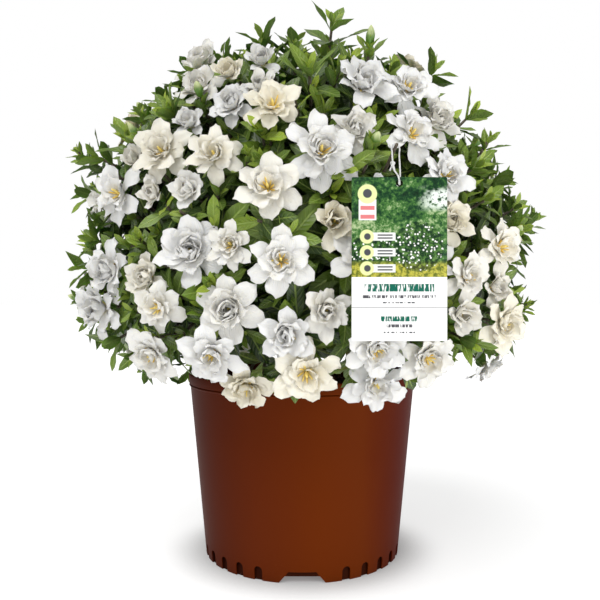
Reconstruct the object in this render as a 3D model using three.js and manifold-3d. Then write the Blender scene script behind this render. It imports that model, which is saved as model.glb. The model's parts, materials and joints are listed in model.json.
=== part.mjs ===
// A gardenia in full flower in a two-gallon nursery pot, with a plant tag on a string.
// Millimetres, +Z up, the front towards -Y, the origin on the ground under the pot's middle.
//
// The plant is a short trunk with eight leafy branches. Each branch keeps to its own cone of
// space round the middle of the crown, so the branches never meet. It has a core of close inner
// foliage, and twigs stand out of that to the crown's rounded outline. The blooms sit there, each
// on its own twig, and touching blooms are one cluster. Whorled leaf shoots fill the places
// between the blooms.

import * as THREE from "three";
import { mergeVertices } from "three/addons/utils/BufferGeometryUtils.js";
import Module from "manifold-3d";

const wasm = await Module();
wasm.setup();

// ---------------------------------------------------------------- driving dimensions

const GAP = 0.35; // between pieces that touch
const PLASTIC = 1.324718; // spreads points evenly over two directions

const POT = {
  height: 188,
  rimRadius: 120,
  shoulderRadius: 118,
  shoulderHeight: 174.5,
  footRadius: 101.5,
  wall: 2.1,
  footWidth: 4.5,
  floorUnder: 7,
  floorTop: 10,
  sides: 30,
};
const RECESS = { pitch: 12, width: 8.5, height: 13.5, depth: 2.2 }; // arched hollows round the foot
const NOTCH = { count: 3, topWidth: 26, footWidth: 44, height: 11, skin: 1.6 }; // openings under the foot
const PAST = 5; // how far a cut reaches past the pot's outside
const DRAIN = { count: 4, radius: 8, ring: 62, sides: 6 };

const SOIL = { edgeHeight: 170, crownHeight: 179, sides: 18, lumps: 1.2 };

const TRUNK = { foot: 100, top: 318, topRadius: 8.4, sides: 8 };

// The crown: an upper half with an elliptic outline, and a fuller lower half.
const CROWN = { radius: 236, middle: 272, rise: 284, drop: 110 };

const TIERS = [
  { count: 4, start: 45, tilt: -12, leaves: 252 },
  { count: 3, start: 0, tilt: 42, leaves: 304 },
];
const LIMB = { radius: 4, sides: 4, reach: 46 };
const CORE = { share: 0.68, gap: 4.6, floor: 198, shaft: 24, sides: 12, rough: 11, sunk: 20 };
const TWIG = { radius: 1.5, lean: 0.12 };

const SHOOT = {
  sites: 400,
  lowest: 172,
  highest: 554,
  most: 58,
  stem: 1.6,
  step: 12,
  bud: 8,
  inset: 29,
  uneven: 8,
  deeper: 20,
  spacing: 36,
};
const LEAF = { width: 0.38, root: 1.25, widest: 0.5, fold: 0.16, droop: 0.16 };
const WHORLS = [
  { up: 0, rise: 26, length: 40 },
  { up: SHOOT.step, rise: 50, length: 31 },
];
const UNEVEN = { rise: 8, length: 0.14, petal: 0.09, aim: 0.1 }; // how far the copies differ

const BLOOM = {
  inset: 8,
  base: 2,
  neck: 3,
  tube: 9,
  throat: 0.16,
  throatUp: 2.2,
  second: 0.66,
  secondSpread: 23,
  heart: 2.5,
  heartUp: 3.2,
  peak: 0.42,
  droop: 0.1,
  lift: 0.12,
  front: 0.58, // how much the blooms in the front list turn towards the front
};

const TAG = { width: 70, height: 120, thick: 0.8, corner: 1.2, hole: 2.6, holeDown: 4.5 };
const TAG_PLACE = { x: 67.8, y: -243, top: 354 };
const STRING = { radius: 0.6, half: 2.7, knot: 1.7, peg: [66.3, -233, 378] };

// ---------------------------------------------------------------- the blooms

// How far each whorl of petals stands up, in degrees, how wide a petal spreads to each side, and
// how far behind its face a bloom's base is.
const FORMS = {
  open: { outer: 10, inner: 46, spread: 18, whorls: 2, back: 15 },
  cup: { outer: 42, inner: 66, spread: 21, whorls: 2, back: 26 },
  small: { outer: 50, inner: 70, spread: 22, whorls: 1, back: 23 },
};

// The blooms that face the front: azimuth in degrees from the front, negative to the left,
// then the height and the width across the petals.
const FRONT_BLOOMS = [
  [-55, 507, 55, "cup"], [-40, 460, 46, "cup"], [-26, 472, 38, "small"], [-9, 462, 36, "small"],
  [-21, 432, 42, "cup"], [-13, 440, 38, "small"], [-27, 416, 36, "small"], [-7, 416, 51, "open"],
  [-2, 384, 64, "open"], [-30, 390, 58, "open"], [-17, 372, 51, "open"], [-6, 350, 57, "open"],
  [-43, 404, 36, "small"], [-70, 367, 48, "cup"], [-46, 352, 58, "open"], [-35, 362, 36, "small"],
  [-30, 340, 40, "small"], [-21, 318, 57, "cup"], [-13, 330, 44, "open"], [-8, 302, 55, "open"],
  [-52, 290, 53, "cup"], [-58, 258, 55, "cup"], [-36, 286, 42, "cup"], [-26, 278, 48, "open"],
  [-14, 270, 53, "cup"], [-17, 236, 58, "open"], [-31, 232, 58, "open"], [-5, 246, 46, "cup"],
  [-15, 205, 55, "open"], [-1, 200, 57, "open"], [5, 306, 53, "open"], [5, 262, 44, "cup"],
  [12, 222, 53, "open"], [18, 192, 57, "open"], [28, 218, 55, "open"], [32, 338, 44, "cup"],
  [49, 324, 53, "open"], [36, 284, 48, "open"], [34, 254, 40, "small"], [50, 234, 57, "open"],
  [27, 304, 36, "small"], [47, 270, 36, "small"], [11, 460, 55, "cup"], [29, 448, 53, "open"],
  [7, 386, 44, "cup"], [19, 398, 51, "open"], [9, 352, 51, "open"], [3, 330, 44, "small"],
  [39, 406, 48, "cup"], [29, 374, 53, "open"],
];

// The blooms on the other sides and on top follow a spiral round the crown.
const OTHER = { count: 28, first: 76, sweep: 208, turn: 0.618034, low: 186, high: 538, across: 54 };
const CLUSTER_NODES = 47; // blooms stay single or touch in pairs and threes, down to this many groups
const SPREADING = {
  rounds: 50,
  apart: 1.08,
  together: 0.88,
  tucked: 0.78,
  share: 0.4,
  smallest: 0.8,
  lean: 0.06,
  firm: 0.95,
};

// ---------------------------------------------------------------- materials

const material = (color, roughness, metalness = 0) =>
  new THREE.MeshStandardMaterial({ color, roughness, metalness });

const MATERIALS = {
  pot: material(0x6a2d0e, 0.38),
  soil: material(0x3a2a1c, 0.95),
  wood: material(0x4e4436, 0.85),
  leaf: material(0x3f6a26, 0.35),
  petal: material(0xf1eee0, 0.6),
  tag: material(0xe9ebe4, 0.4),
  string: material(0xf4f4f2, 0.7),
};

// ---------------------------------------------------------------- small helpers

const vector = (x, y, z) => new THREE.Vector3(x, y, z);
const radians = THREE.MathUtils.degToRad;
const mix = THREE.MathUtils.lerp;

/** A value from -1 to 1 that is the same on every run. */
function drift(index, key) {
  const value = Math.sin(index * 12.9898 + key * 78.233) * 43758.5453;
  return 2 * (value - Math.floor(value)) - 1;
}

/** Two unit vectors across an axis, the first as level as it can be. */
function across(axis) {
  const level = Math.abs(axis.z) < 0.95 ? vector(0, 0, 1) : vector(0, 1, 0);
  const side = level.cross(axis).normalize();
  return [side, axis.clone().cross(side).normalize()];
}

/** A point beside `middle`, `radius` away at `angle` round the axis that `frame` lies across. */
function around(middle, frame, radius, angle) {
  return middle
    .clone()
    .addScaledVector(frame[0], radius * Math.cos(angle))
    .addScaledVector(frame[1], radius * Math.sin(angle));
}

/** An evenly divided ring, each point with its turn from 0 to 1. */
function ring(middle, frame, radius, count, offset = 0) {
  return Array.from({ length: count }, (_, i) => {
    const turn = (i + offset) / count;
    return { turn, point: around(middle, frame, radius, 2 * Math.PI * turn) };
  });
}

// ---------------------------------------------------------------- solids

/** A closed geometry as a solid. */
function solidOf(geometry) {
  const bare = geometry.clone();
  for (const name of Object.keys(bare.attributes)) {
    if (name !== "position") bare.deleteAttribute(name);
  }
  const merged = mergeVertices(bare, 1e-4);
  const vertProperties = new Float32Array(merged.attributes.position.array);
  const triVerts = new Uint32Array(merged.index.array);
  return new wasm.Manifold(new wasm.Mesh({ numProp: 3, vertProperties, triVerts }));
}

/** A solid as a geometry for a mesh. */
function geometryOf(solid) {
  const { vertProperties, triVerts, numProp } = solid.getMesh();
  const geometry = new THREE.BufferGeometry();
  const corners = new THREE.InterleavedBuffer(vertProperties, numProp);
  const positions = new THREE.InterleavedBufferAttribute(corners, 3, 0);
  const plain = new Float32Array(positions.count * 3);
  for (let i = 0; i < positions.count; i++) {
    plain.set([positions.getX(i), positions.getY(i), positions.getZ(i)], 3 * i);
  }
  geometry.setAttribute("position", new THREE.BufferAttribute(plain, 3));
  geometry.setIndex([...triVerts]);
  geometry.computeVertexNormals();
  return geometry;
}

/** Closes a stack of rings into one solid. A first or last ring of one point is a pole. */
function ringStack(rings) {
  const points = rings.flat().map((entry) => entry.point);
  const faces = [];
  const cap = (start, count, up) => {
    for (let i = 1; i < count - 1; i++) {
      faces.push(start, start + (up ? i : i + 1), start + (up ? i + 1 : i));
    }
  };
  let low = 0;
  cap(0, rings[0].length, false);
  for (let k = 1; k < rings.length; k++) {
    const [below, above] = [rings[k - 1], rings[k]];
    const high = low + below.length;
    const reach = (row, step) =>
      step < row.length ? row[step].turn : row[step - row.length].turn + 1;
    let i = 0;
    let j = 0;
    const lastI = below.length > 1 ? below.length : 0;
    const lastJ = above.length > 1 ? above.length : 0;
    while (i < lastI || j < lastJ) {
      const corner = low + (i % below.length);
      const peak = high + (j % above.length);
      const stepI = i < lastI ? reach(below, i + 1) : Infinity;
      const stepJ = j < lastJ ? reach(above, j + 1) : Infinity;
      if (stepI <= stepJ) {
        faces.push(corner, low + ((i + 1) % below.length), peak);
        i += 1;
      } else {
        faces.push(corner, high + ((j + 1) % above.length), peak);
        j += 1;
      }
    }
    low = high;
  }
  cap(low, rings.at(-1).length, true);
  const geometry = new THREE.BufferGeometry().setFromPoints(points);
  geometry.setIndex(faces);
  return solidOf(geometry);
}

/** A tube with flat ends along a curve. */
function tube(curve, radius, sides, steps) {
  const section = new THREE.Shape(
    Array.from({ length: sides }, (_, i) => {
      const angle = (2 * Math.PI * i) / sides;
      return new THREE.Vector2(radius * Math.cos(angle), radius * Math.sin(angle));
    }),
  );
  return solidOf(new THREE.ExtrudeGeometry(section, { steps, extrudePath: curve }));
}

/** A solid turned round +Z from a profile of [radius, height] pairs that starts and ends on it. */
function turned(profile, sides) {
  const points = profile.map(([radius, height]) => new THREE.Vector2(radius, height));
  return solidOf(new THREE.LatheGeometry(points, sides).rotateX(Math.PI / 2));
}

/** The largest single body of a fused solid. */
function wholeBody(solid) {
  const bodies = solid.decompose();
  return bodies.reduce((best, body) => (body.volume() > best.volume() ? body : best));
}

const fuse = (solids) => wholeBody(wasm.Manifold.union(solids));

/** True where two solids cross. */
function crosses(a, b) {
  const [boxA, boxB] = [a.boundingBox(), b.boundingBox()];
  for (let i = 0; i < 3; i++) {
    if (boxA.min[i] > boxB.max[i] || boxB.min[i] > boxA.max[i]) return false;
  }
  return !a.intersect(b).isEmpty();
}

const meshes = [];

function addMesh(name, solid, look) {
  const mesh = new THREE.Mesh(geometryOf(solid), look);
  mesh.name = name;
  meshes.push(mesh);
  return mesh;
}

// ---------------------------------------------------------------- the pot

function potWall() {
  const { footRadius, footWidth, floorUnder, floorTop, shoulderRadius, wall } = POT;
  const { shoulderHeight, rimRadius, height, sides } = POT;
  const profile = [
    [0, floorUnder],
    [footRadius - footWidth - 1.5, floorUnder],
    [footRadius - footWidth, 0],
    [footRadius, 0],
    [shoulderRadius, shoulderHeight],
    [rimRadius - 0.8, shoulderHeight + 1.4],
    [shoulderRadius + 0.2, shoulderHeight + 2.6],
    [rimRadius - 0.4, shoulderHeight + 3.8],
    [rimRadius, height - 1.2],
    [rimRadius - 1, height],
    [rimRadius - 2.6, height],
    [shoulderRadius - wall, shoulderHeight],
    [footRadius - wall - 1, floorTop],
    [0, floorTop],
  ];
  return turned(profile, sides).rotate([0, 0, 180 / sides]);
}

/** A prism of an outline in the X-Z plane, from `near` to `far` away from the axis, turned round it. */
function radialPrism(outline, near, far, azimuth) {
  const prism = new THREE.ExtrudeGeometry(outline, {
    depth: far - near,
    bevelEnabled: false,
    curveSegments: 2,
  });
  prism.rotateX(Math.PI / 2).translate(0, -near, 0).rotateZ(radians(azimuth));
  return solidOf(prism);
}

function recessOutline() {
  const half = RECESS.width / 2;
  const outline = new THREE.Shape();
  outline.moveTo(-half, -1);
  outline.lineTo(half, -1);
  outline.lineTo(half, RECESS.height - half);
  outline.absarc(0, RECESS.height - half, half, 0, Math.PI, false);
  outline.closePath();
  return outline;
}

function notchOutline() {
  const [foot, top] = [NOTCH.footWidth / 2, NOTCH.topWidth / 2];
  const corners = [[-foot, -1], [foot, -1], [foot, 0], [top, NOTCH.height], [-top, NOTCH.height], [-foot, 0]];
  return new THREE.Shape(corners.map(([x, z]) => new THREE.Vector2(x, z)));
}

function buildPot() {
  const cuts = [];
  const notchEvery = 360 / NOTCH.count;
  for (let azimuth = 0; azimuth < 360; azimuth += RECESS.pitch) {
    const beside = Math.abs(((azimuth + notchEvery / 2) % notchEvery) - notchEvery / 2);
    if (beside > RECESS.pitch) {
      const deep = POT.footRadius - RECESS.depth;
      cuts.push(radialPrism(recessOutline(), deep, POT.footRadius + PAST, azimuth));
    }
  }
  const inner = POT.footRadius - POT.footWidth - 3;
  const outer = POT.footRadius + PAST;
  const [low, high] = [-PAST, POT.floorUnder - 0.6];
  const underFloor = turned([[0, low], [outer + PAST, low], [outer + PAST, high], [0, high]], 24);
  for (let i = 0; i < NOTCH.count; i++) {
    const notch = radialPrism(notchOutline(), inner, outer, i * notchEvery);
    const skin = radialPrism(notchOutline(), POT.footRadius - NOTCH.skin, outer, i * notchEvery);
    cuts.push(notch.intersect(underFloor), skin);
  }
  for (let i = 0; i < DRAIN.count; i++) {
    const azimuth = radians((360 / DRAIN.count) * (i + 0.5));
    const hole = new THREE.CylinderGeometry(DRAIN.radius, DRAIN.radius, 20, DRAIN.sides).rotateX(Math.PI / 2);
    hole.translate(DRAIN.ring * Math.sin(azimuth), -DRAIN.ring * Math.cos(azimuth), POT.floorTop - 2);
    cuts.push(solidOf(hole));
  }
  return potWall().subtract(wasm.Manifold.union(cuts));
}

// ---------------------------------------------------------------- the trunk and the soil

function trunkProfile(grown) {
  const { foot, top, topRadius } = TRUNK;
  return [
    [0, foot - grown],
    [8 + grown, foot - grown],
    [12 + grown, 158],
    [12.6 + grown, 178],
    [10.4 + grown, 194],
    [topRadius + grown, top + grown],
    [0, top + grown],
  ];
}

/** Bark mix: level at the pot's wall, a little higher and lumpy towards the trunk. */
function buildSoil(place) {
  const { edgeHeight, crownHeight, sides, lumps } = SOIL;
  const wallAt = (height) => {
    const share = (height - POT.floorTop) / (POT.shoulderHeight - POT.floorTop);
    const inside = mix(POT.footRadius - POT.wall - 1, POT.shoulderRadius - POT.wall, share);
    return inside * Math.cos(Math.PI / POT.sides) - GAP;
  };
  const bottom = POT.floorTop + GAP;
  const rows = [[wallAt(bottom), bottom], [wallAt(edgeHeight), edgeHeight]];
  for (const share of [0.72, 0.4]) {
    rows.push([wallAt(edgeHeight) * share, mix(crownHeight, edgeHeight, share * share)]);
  }
  const axis = across(vector(0, 0, 1));
  const rings = rows.map(([radius, height], row) => {
    const level = ring(vector(0, 0, height), axis, radius, sides);
    level.forEach((entry, i) => {
      if (row > 1) entry.point.z += lumps * drift(i + row * sides, 3);
    });
    return level;
  });
  const pole = (height) => [{ turn: 0, point: vector(0, 0, height) }];
  const ground = ringStack([pole(bottom), ...rings, pole(crownHeight)]);
  const hole = turned(trunkProfile(GAP), TRUNK.sides).translate([place.x, place.y, 0]);
  return ground.subtract(hole);
}

// ---------------------------------------------------------------- the crown's outline

const CROWN_MIDDLE = vector(0, 0, CROWN.middle);

function crownRadius(height) {
  if (height >= CROWN.middle) {
    const share = Math.min(1, (height - CROWN.middle) / CROWN.rise);
    return CROWN.radius * Math.sqrt(1 - share * share);
  }
  const share = Math.min(1, (CROWN.middle - height) / CROWN.drop);
  return CROWN.radius * Math.cbrt(1 - share ** 3);
}

/** The point of the crown's outline at an azimuth and height, moved in by `inset`. */
function onCrown(azimuth, height, inset = 0) {
  const radius = crownRadius(height);
  const angle = radians(azimuth);
  const point = vector(radius * Math.sin(angle), -radius * Math.cos(angle), height);
  return point.addScaledVector(outwards(point), -inset);
}

/** A point moved straight out from the crown's middle, or in to it, until it is on the outline. */
function slideToCrown(point) {
  const from = point.clone().sub(CROWN_MIDDLE);
  const level = Math.hypot(from.x, from.y) / CROWN.radius;
  const scale =
    from.z > 0 ? Math.hypot(level, from.z / CROWN.rise) : Math.cbrt(level ** 3 + (-from.z / CROWN.drop) ** 3);
  return from.divideScalar(scale).add(CROWN_MIDDLE);
}

/** The direction out of the crown at a point. */
function outwards(point) {
  const rise = point.z >= CROWN.middle ? CROWN.rise : CROWN.drop * 1.35;
  const flat = CROWN.radius ** 2;
  return vector(point.x / flat, point.y / flat, (point.z - CROWN.middle) / rise ** 2).normalize();
}

// ---------------------------------------------------------------- where the blooms are

function bloomSites() {
  const rows = FRONT_BLOOMS.map(([azimuth, height, width, form]) => ({ azimuth, height, width, form }));
  for (let i = 0; i < OTHER.count; i++) {
    const share = (i + 0.5) / OTHER.count;
    rows.push({
      azimuth: OTHER.first + OTHER.sweep * ((i * OTHER.turn) % 1),
      height: mix(OTHER.low, OTHER.high, share ** 1.15),
      width: OTHER.across + 6 * drift(i, 1),
      form: ["open", "open", "cup", "open", "small"][i % 5],
    });
  }
  return rows.map((row, index) => {
    const spot = onCrown(row.azimuth, row.height);
    return { ...row, index, spot, radius: row.width / 2, group: index, partners: [] };
  });
}

/** Joins the closest blooms into groups until few enough groups are left. */
function groupBlooms(sites) {
  const pairs = [];
  for (let i = 0; i < sites.length; i++) {
    for (let j = 0; j < i; j++) {
      const room = sites[i].spot.distanceTo(sites[j].spot) - sites[i].radius - sites[j].radius;
      pairs.push({ i, j, room });
    }
  }
  pairs.sort((p, q) => p.room - q.room);
  const size = sites.map(() => 1);
  let groups = sites.length;
  for (const { i, j } of pairs) {
    const [a, b] = [sites[i].group, sites[j].group];
    if (groups <= CLUSTER_NODES) break;
    if (a === b || size[a] + size[b] > 3) continue;
    sites.forEach((site) => {
      if (site.group === a) site.group = b;
    });
    size[b] += size[a];
    groups -= 1;
    sites[i].partners.push(j);
  }
}

/** How far apart two blooms should be. */
function wantedSpace(a, b) {
  const touching = a.radius + b.radius;
  if (a.group !== b.group) return touching * SPREADING.apart;
  const alike = a.form === b.form && a.partners.includes(b.index);
  return touching * (alike ? SPREADING.together : SPREADING.tucked);
}

/** Moves blooms along the outline: partners until they touch, all others until they are clear. */
function spreadBlooms(sites) {
  for (let round = 0; round < SPREADING.rounds; round++) {
    for (let i = 0; i < sites.length; i++) {
      for (let j = 0; j < i; j++) {
        const [a, b] = [sites[i], sites[j]];
        const away = a.spot.clone().sub(b.spot);
        const distance = away.length();
        const wanted = wantedSpace(a, b);
        if (!a.partners.includes(j) && distance >= wanted) continue;
        away.multiplyScalar((SPREADING.share * (wanted - distance)) / distance);
        a.spot = slideToCrown(a.spot.clone().add(away));
        b.spot = slideToCrown(b.spot.clone().sub(away));
      }
    }
  }
}

/** Makes blooms that are still too close to a neighbour a little smaller. */
function thinBlooms(sites) {
  for (const a of sites) {
    for (const b of sites) {
      if (a.group === b.group) continue;
      const room = a.spot.distanceTo(b.spot) / (a.radius + b.radius) / SPREADING.apart;
      if (room < 1) a.radius *= Math.max(SPREADING.smallest, room);
    }
  }
}

/** One solid for a cluster: its blooms lean together until their petals join firmly. */
function buildCluster(cluster) {
  const joined = (share) =>
    wasm.Manifold.union(cluster.map((site) => buildBloom({ ...site, radius: site.radius * share })));
  for (;;) {
    if (joined(SPREADING.firm).decompose().length === 1) return wholeBody(joined(1));
    const middle = cluster.reduce((sum, site) => sum.add(site.spot), vector(0, 0, 0));
    middle.divideScalar(cluster.length);
    for (const site of cluster) site.spot = slideToCrown(site.spot.lerp(middle, SPREADING.lean));
    aimBlooms(cluster);
  }
}

/** Gives every bloom the direction that it faces and the place of its base. */
function aimBlooms(sites) {
  for (const site of sites) {
    const aim = outwards(site.spot);
    site.face = site.spot.clone().addScaledVector(aim, -BLOOM.inset);
    aim.z += BLOOM.lift;
    aim.x += UNEVEN.aim * drift(site.index, 5);
    aim.y += UNEVEN.aim * drift(site.index, 6);
    if (site.index < FRONT_BLOOMS.length) aim.y -= BLOOM.front;
    site.axis = aim.normalize();
    site.base = site.face.clone().addScaledVector(site.axis, -FORMS[site.form].back);
  }
}

// ---------------------------------------------------------------- one bloom

/** A rim of rounded petals: a valley and two shoulders for each. */
function petalRim(site, count, length, lift, spread, first) {
  const frame = across(site.axis);
  const rise = radians(lift);
  const place = (reach, turn) => {
    const out = BLOOM.neck + reach * Math.cos(rise);
    const up = BLOOM.tube + reach * Math.sin(rise) - BLOOM.droop * length * (reach / length) ** 2;
    return around(site.base.clone().addScaledVector(site.axis, up), frame, out, 2 * Math.PI * turn);
  };
  const rim = [];
  for (let k = 0; k < count; k++) {
    const middle = (k + 0.5) / count;
    const ragged = 1 + UNEVEN.petal * drift(site.index * 17 + k, first);
    const wide = (spread / 360) * (6 / count);
    rim.push({ turn: k / count, point: place(length * 0.5, k / count + first) });
    for (const side of [-wide, wide]) {
      rim.push({ turn: middle + side, point: place(length * ragged * 0.97, middle + side + first) });
    }
  }
  return rim;
}

function buildBloom(site) {
  const form = FORMS[site.form];
  const frame = across(site.axis);
  const at = (up) => site.base.clone().addScaledVector(site.axis, up);
  const reach = (site.radius - BLOOM.neck) / Math.max(0.72, Math.cos(radians(form.outer)));
  const rings = [
    ring(at(0), frame, BLOOM.base, 3),
    ring(at(BLOOM.tube - 1), frame, BLOOM.neck, 3),
    petalRim(site, 6, reach, form.outer, form.spread, 0),
  ];
  if (form.whorls === 2) {
    const out = BLOOM.throat * reach;
    const up = BLOOM.tube + BLOOM.throatUp + out * Math.tan(radians(form.outer));
    rings.push(ring(at(up), frame, BLOOM.neck + out, 5, 0.5));
    rings.push(petalRim(site, 5, reach * BLOOM.second, form.inner, BLOOM.secondSpread, 0.5 / 6));
  }
  rings.push(ring(at(BLOOM.tube + BLOOM.heartUp), frame, BLOOM.heart, 5, 0.5));
  rings.push([{ turn: 0, point: at(BLOOM.tube + BLOOM.peak * reach) }]);
  return ringStack(rings);
}

// ---------------------------------------------------------------- branches and twigs

/** The eight branches: the direction of each one's cone, and the limb from the trunk into it. */
function branchLines() {
  const lines = [];
  for (const tier of TIERS) {
    for (let k = 0; k < tier.count; k++) {
      const azimuth = radians(tier.start + (360 / tier.count) * k);
      const tilt = radians(tier.tilt);
      const level = vector(Math.sin(azimuth), -Math.cos(azimuth), 0);
      const heading = level.clone().multiplyScalar(Math.cos(tilt)).setZ(Math.sin(tilt));
      const start = level.clone().multiplyScalar(trunkRadius(tier.leaves) + GAP).setZ(tier.leaves);
      const rise = vector(0, 0, Math.max(0, LIMB.reach * Math.sin(tilt)));
      const end = start.clone().addScaledVector(level, LIMB.reach).add(rise);
      lines.push({ heading, limb: [start, level, end] });
    }
  }
  const up = vector(0, 0, 1);
  const start = vector(0, 0, TRUNK.top + GAP);
  lines.push({ heading: up, limb: [start, up, start.clone().addScaledVector(up, LIMB.reach)] });
  return lines;
}

/** A limb: flat against the trunk, and then into its branch's foliage. */
function buildLimb([start, level, end]) {
  const heading = end.clone().sub(start).normalize();
  return ringStack([
    ring(start, across(level), LIMB.radius, LIMB.sides),
    ring(end, across(heading), LIMB.radius * 0.8, LIMB.sides),
  ]);
}

/** The close inner foliage of the whole crown, with a rough surface. */
function buildInnerFoliage() {
  const frame = across(vector(0, 0, 1));
  const top = CROWN.middle + CROWN.rise * CORE.share;
  const levels = [CORE.floor, 226, 268, 314, 360, 406, 446];
  const rings = levels.map((height, row) => {
    const spread = CROWN.middle + (height - CROWN.middle) / CORE.share;
    const level = ring(vector(0, 0, height), frame, crownRadius(spread) * CORE.share, CORE.sides);
    level.forEach((entry, i) => {
      const side = (i + row) % 2 ? 1 : -1;
      const push = CORE.rough * (side + 0.4 * drift(i + row * CORE.sides, 4));
      entry.point.addScaledVector(outwards(entry.point), push);
    });
    return level;
  });
  return ringStack([...rings, [{ turn: 0, point: vector(0, 0, top) }]]);
}

/** One branch's share of the inner foliage: what lies nearer to its heading than to any other. */
function buildCore(foliage, lines, line) {
  const size = 1000;
  const shaft = turned([[0, 0], [CORE.shaft, 0], [CORE.shaft, TRUNK.top + 12], [0, TRUNK.top + 12]], 8);
  let core = foliage.subtract(shaft);
  for (const other of lines) {
    if (other === line) continue;
    const side = line.heading.clone().sub(other.heading).normalize();
    const block = new THREE.BoxGeometry(size, size, size).translate(0, 0, (size + CORE.gap) / 2);
    block.applyQuaternion(new THREE.Quaternion().setFromUnitVectors(vector(0, 0, 1), side));
    block.translate(0, 0, CROWN.middle);
    core = core.intersect(solidOf(block));
  }
  return core;
}

/** The point inside a branch's inner foliage where the twig to `target` starts. */
function twigRoot(target, line) {
  const heading = target.clone().sub(CROWN_MIDDLE).normalize();
  heading.addScaledVector(line.heading, TWIG.lean).normalize();
  const reach = slideToCrown(target).distanceTo(CROWN_MIDDLE) * CORE.share - CORE.sunk;
  return CROWN_MIDDLE.clone().addScaledVector(heading, reach);
}

function trunkRadius(height) {
  return mix(10.4, TRUNK.topRadius, (height - 194) / (TRUNK.top - 194));
}

/** The branch whose cone holds a point. */
function branchOf(lines, point) {
  const heading = point.clone().sub(CROWN_MIDDLE).normalize();
  return lines.reduce((best, line) => (heading.dot(line.heading) > heading.dot(best.heading) ? line : best));
}

/** A straight twig from the inner foliage to a flat end at `to` that faces along `axis`. */
function buildTwig(to, axis, line) {
  const from = twigRoot(to, line);
  const heading = to.clone().sub(from).normalize();
  return ringStack([
    ring(from, across(heading), TWIG.radius + 0.3, 3),
    ring(to, across(axis), TWIG.radius, 3),
  ]);
}

// ---------------------------------------------------------------- leaf shoots

/** The half width of a leaf at a share of its length, as a share of its full width. */
const leafHalf = (share) => 0.5 * Math.sin(Math.PI * Math.min(1, 0.16 + 0.84 * share) ** 1.05);

/** The direction, side and upper side of a leaf that leaves a shoot at an angle. */
function leafFrame(shoot, leaf) {
  const frame = across(shoot.axis);
  const out = around(vector(0, 0, 0), frame, 1, leaf.angle);
  const rise = radians(leaf.rise);
  const along = out.clone().multiplyScalar(Math.cos(rise)).addScaledVector(shoot.axis, Math.sin(rise));
  const side = shoot.axis.clone().cross(out);
  const upper = along.clone().cross(side).negate();
  return { along, side, upper: upper.dot(shoot.axis) < 0 ? upper.negate() : upper };
}

function leafPoint(shoot, leaf, share, sideways) {
  const { along, side, upper } = leafFrame(shoot, leaf);
  const width = leaf.length * LEAF.width;
  return shoot.place
    .clone()
    .addScaledVector(shoot.axis, leaf.up)
    .addScaledVector(along, leaf.length * share)
    .addScaledVector(side, width * leafHalf(share) * sideways)
    .addScaledVector(upper, LEAF.fold * width * Math.abs(sideways) - LEAF.droop * leaf.length * share ** 2);
}

/** True where a point lies in or close to a bloom. */
function nearBloom(point, bloom) {
  const from = point.clone().sub(bloom.base);
  const up = from.dot(bloom.axis);
  if (up < -2 || up > BLOOM.tube + bloom.radius) return false;
  const out = Math.sqrt(Math.max(0, from.lengthSq() - up * up));
  const steep = FORMS[bloom.form].outer > 30 ? 1 : 1.6;
  return out < Math.min(bloom.radius + 1, BLOOM.neck + 1.5 + steep * Math.max(0, up - 4));
}

function inTheWay(point, blooms) {
  const radius = Math.hypot(point.x, point.y);
  if (radius < POT.rimRadius + 2 && point.z < POT.height + 3) return true;
  const byTag = Math.abs(point.x - TAG_PLACE.x) < TAG.width / 2 + 4 && point.y < TAG_PLACE.y + 5;
  if (byTag && point.z > TAG_PLACE.top - TAG.height - 4 && point.z < TAG_PLACE.top + 30) return true;
  return blooms.some((bloom) => nearBloom(point, bloom));
}

/** Bends a leaf clear of the blooms, the pot and the tag, or returns false. */
function settleLeaf(shoot, leaf, blooms) {
  const wanted = { ...leaf };
  for (const shorter of [1, 0.82, 0.64]) {
    for (const bend of [0, 16, -16, 32, -30]) {
      leaf.rise = wanted.rise + bend;
      leaf.length = wanted.length * shorter;
      const blocked = [0.3, 0.55, 0.8, 1].some((share) =>
        [-1, 0, 1].some((sideways) => inTheWay(leafPoint(shoot, leaf, share, sideways), blooms)),
      );
      if (!blocked) return true;
    }
  }
  return false;
}

function makeShoot(index, place, axis, deep, blooms) {
  const shoot = { index, place, axis, leaves: [] };
  const start = 2 * Math.PI * drift(index, 7);
  for (const [row, { up, rise, length }] of WHORLS.slice(0, deep ? 1 : 2).entries()) {
    for (let k = 0; k < 3; k++) {
      const leaf = {
        row,
        up,
        rise: rise + UNEVEN.rise * drift(index * 7 + k, 8 + row),
        length: length * (1 + UNEVEN.length * drift(index * 5 + k, 10 + row)),
        angle: start + (2 * Math.PI * (k + row / 2)) / 3,
      };
      if (!settleLeaf(shoot, leaf, blooms)) return null;
      shoot.leaves.push(leaf);
    }
  }
  return shoot;
}

/** The places of the shoots, even over the crown, every third one further in. */
function shootSites(blooms) {
  const shoots = [];
  for (let i = 0; i < SHOOT.sites && shoots.length < SHOOT.most; i++) {
    const height = mix(SHOOT.lowest, SHOOT.highest, (i * PLASTIC ** -1 + 0.31) % 1);
    const azimuth = 360 * ((i * PLASTIC ** -2 + 0.5) % 1);
    const surface = onCrown(azimuth, height);
    const axis = outwards(surface);
    axis.z += 0.1;
    axis.normalize();
    const deep = i % 3 === 2;
    const inset = SHOOT.inset + (deep ? SHOOT.deeper : 0) + SHOOT.uneven * drift(i, 12);
    const place = surface.addScaledVector(axis, -inset);
    const crowded = shoots.some((other) => other.place.distanceTo(place) < SHOOT.spacing);
    if (crowded || inTheWay(place, blooms)) continue;
    const shoot = makeShoot(i, place, axis, deep, blooms);
    if (shoot) shoots.push(shoot);
  }
  return shoots;
}

/** The point `up` along a shoot's own axis. */
const along = (shoot, up) => shoot.place.clone().addScaledVector(shoot.axis, up);

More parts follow.
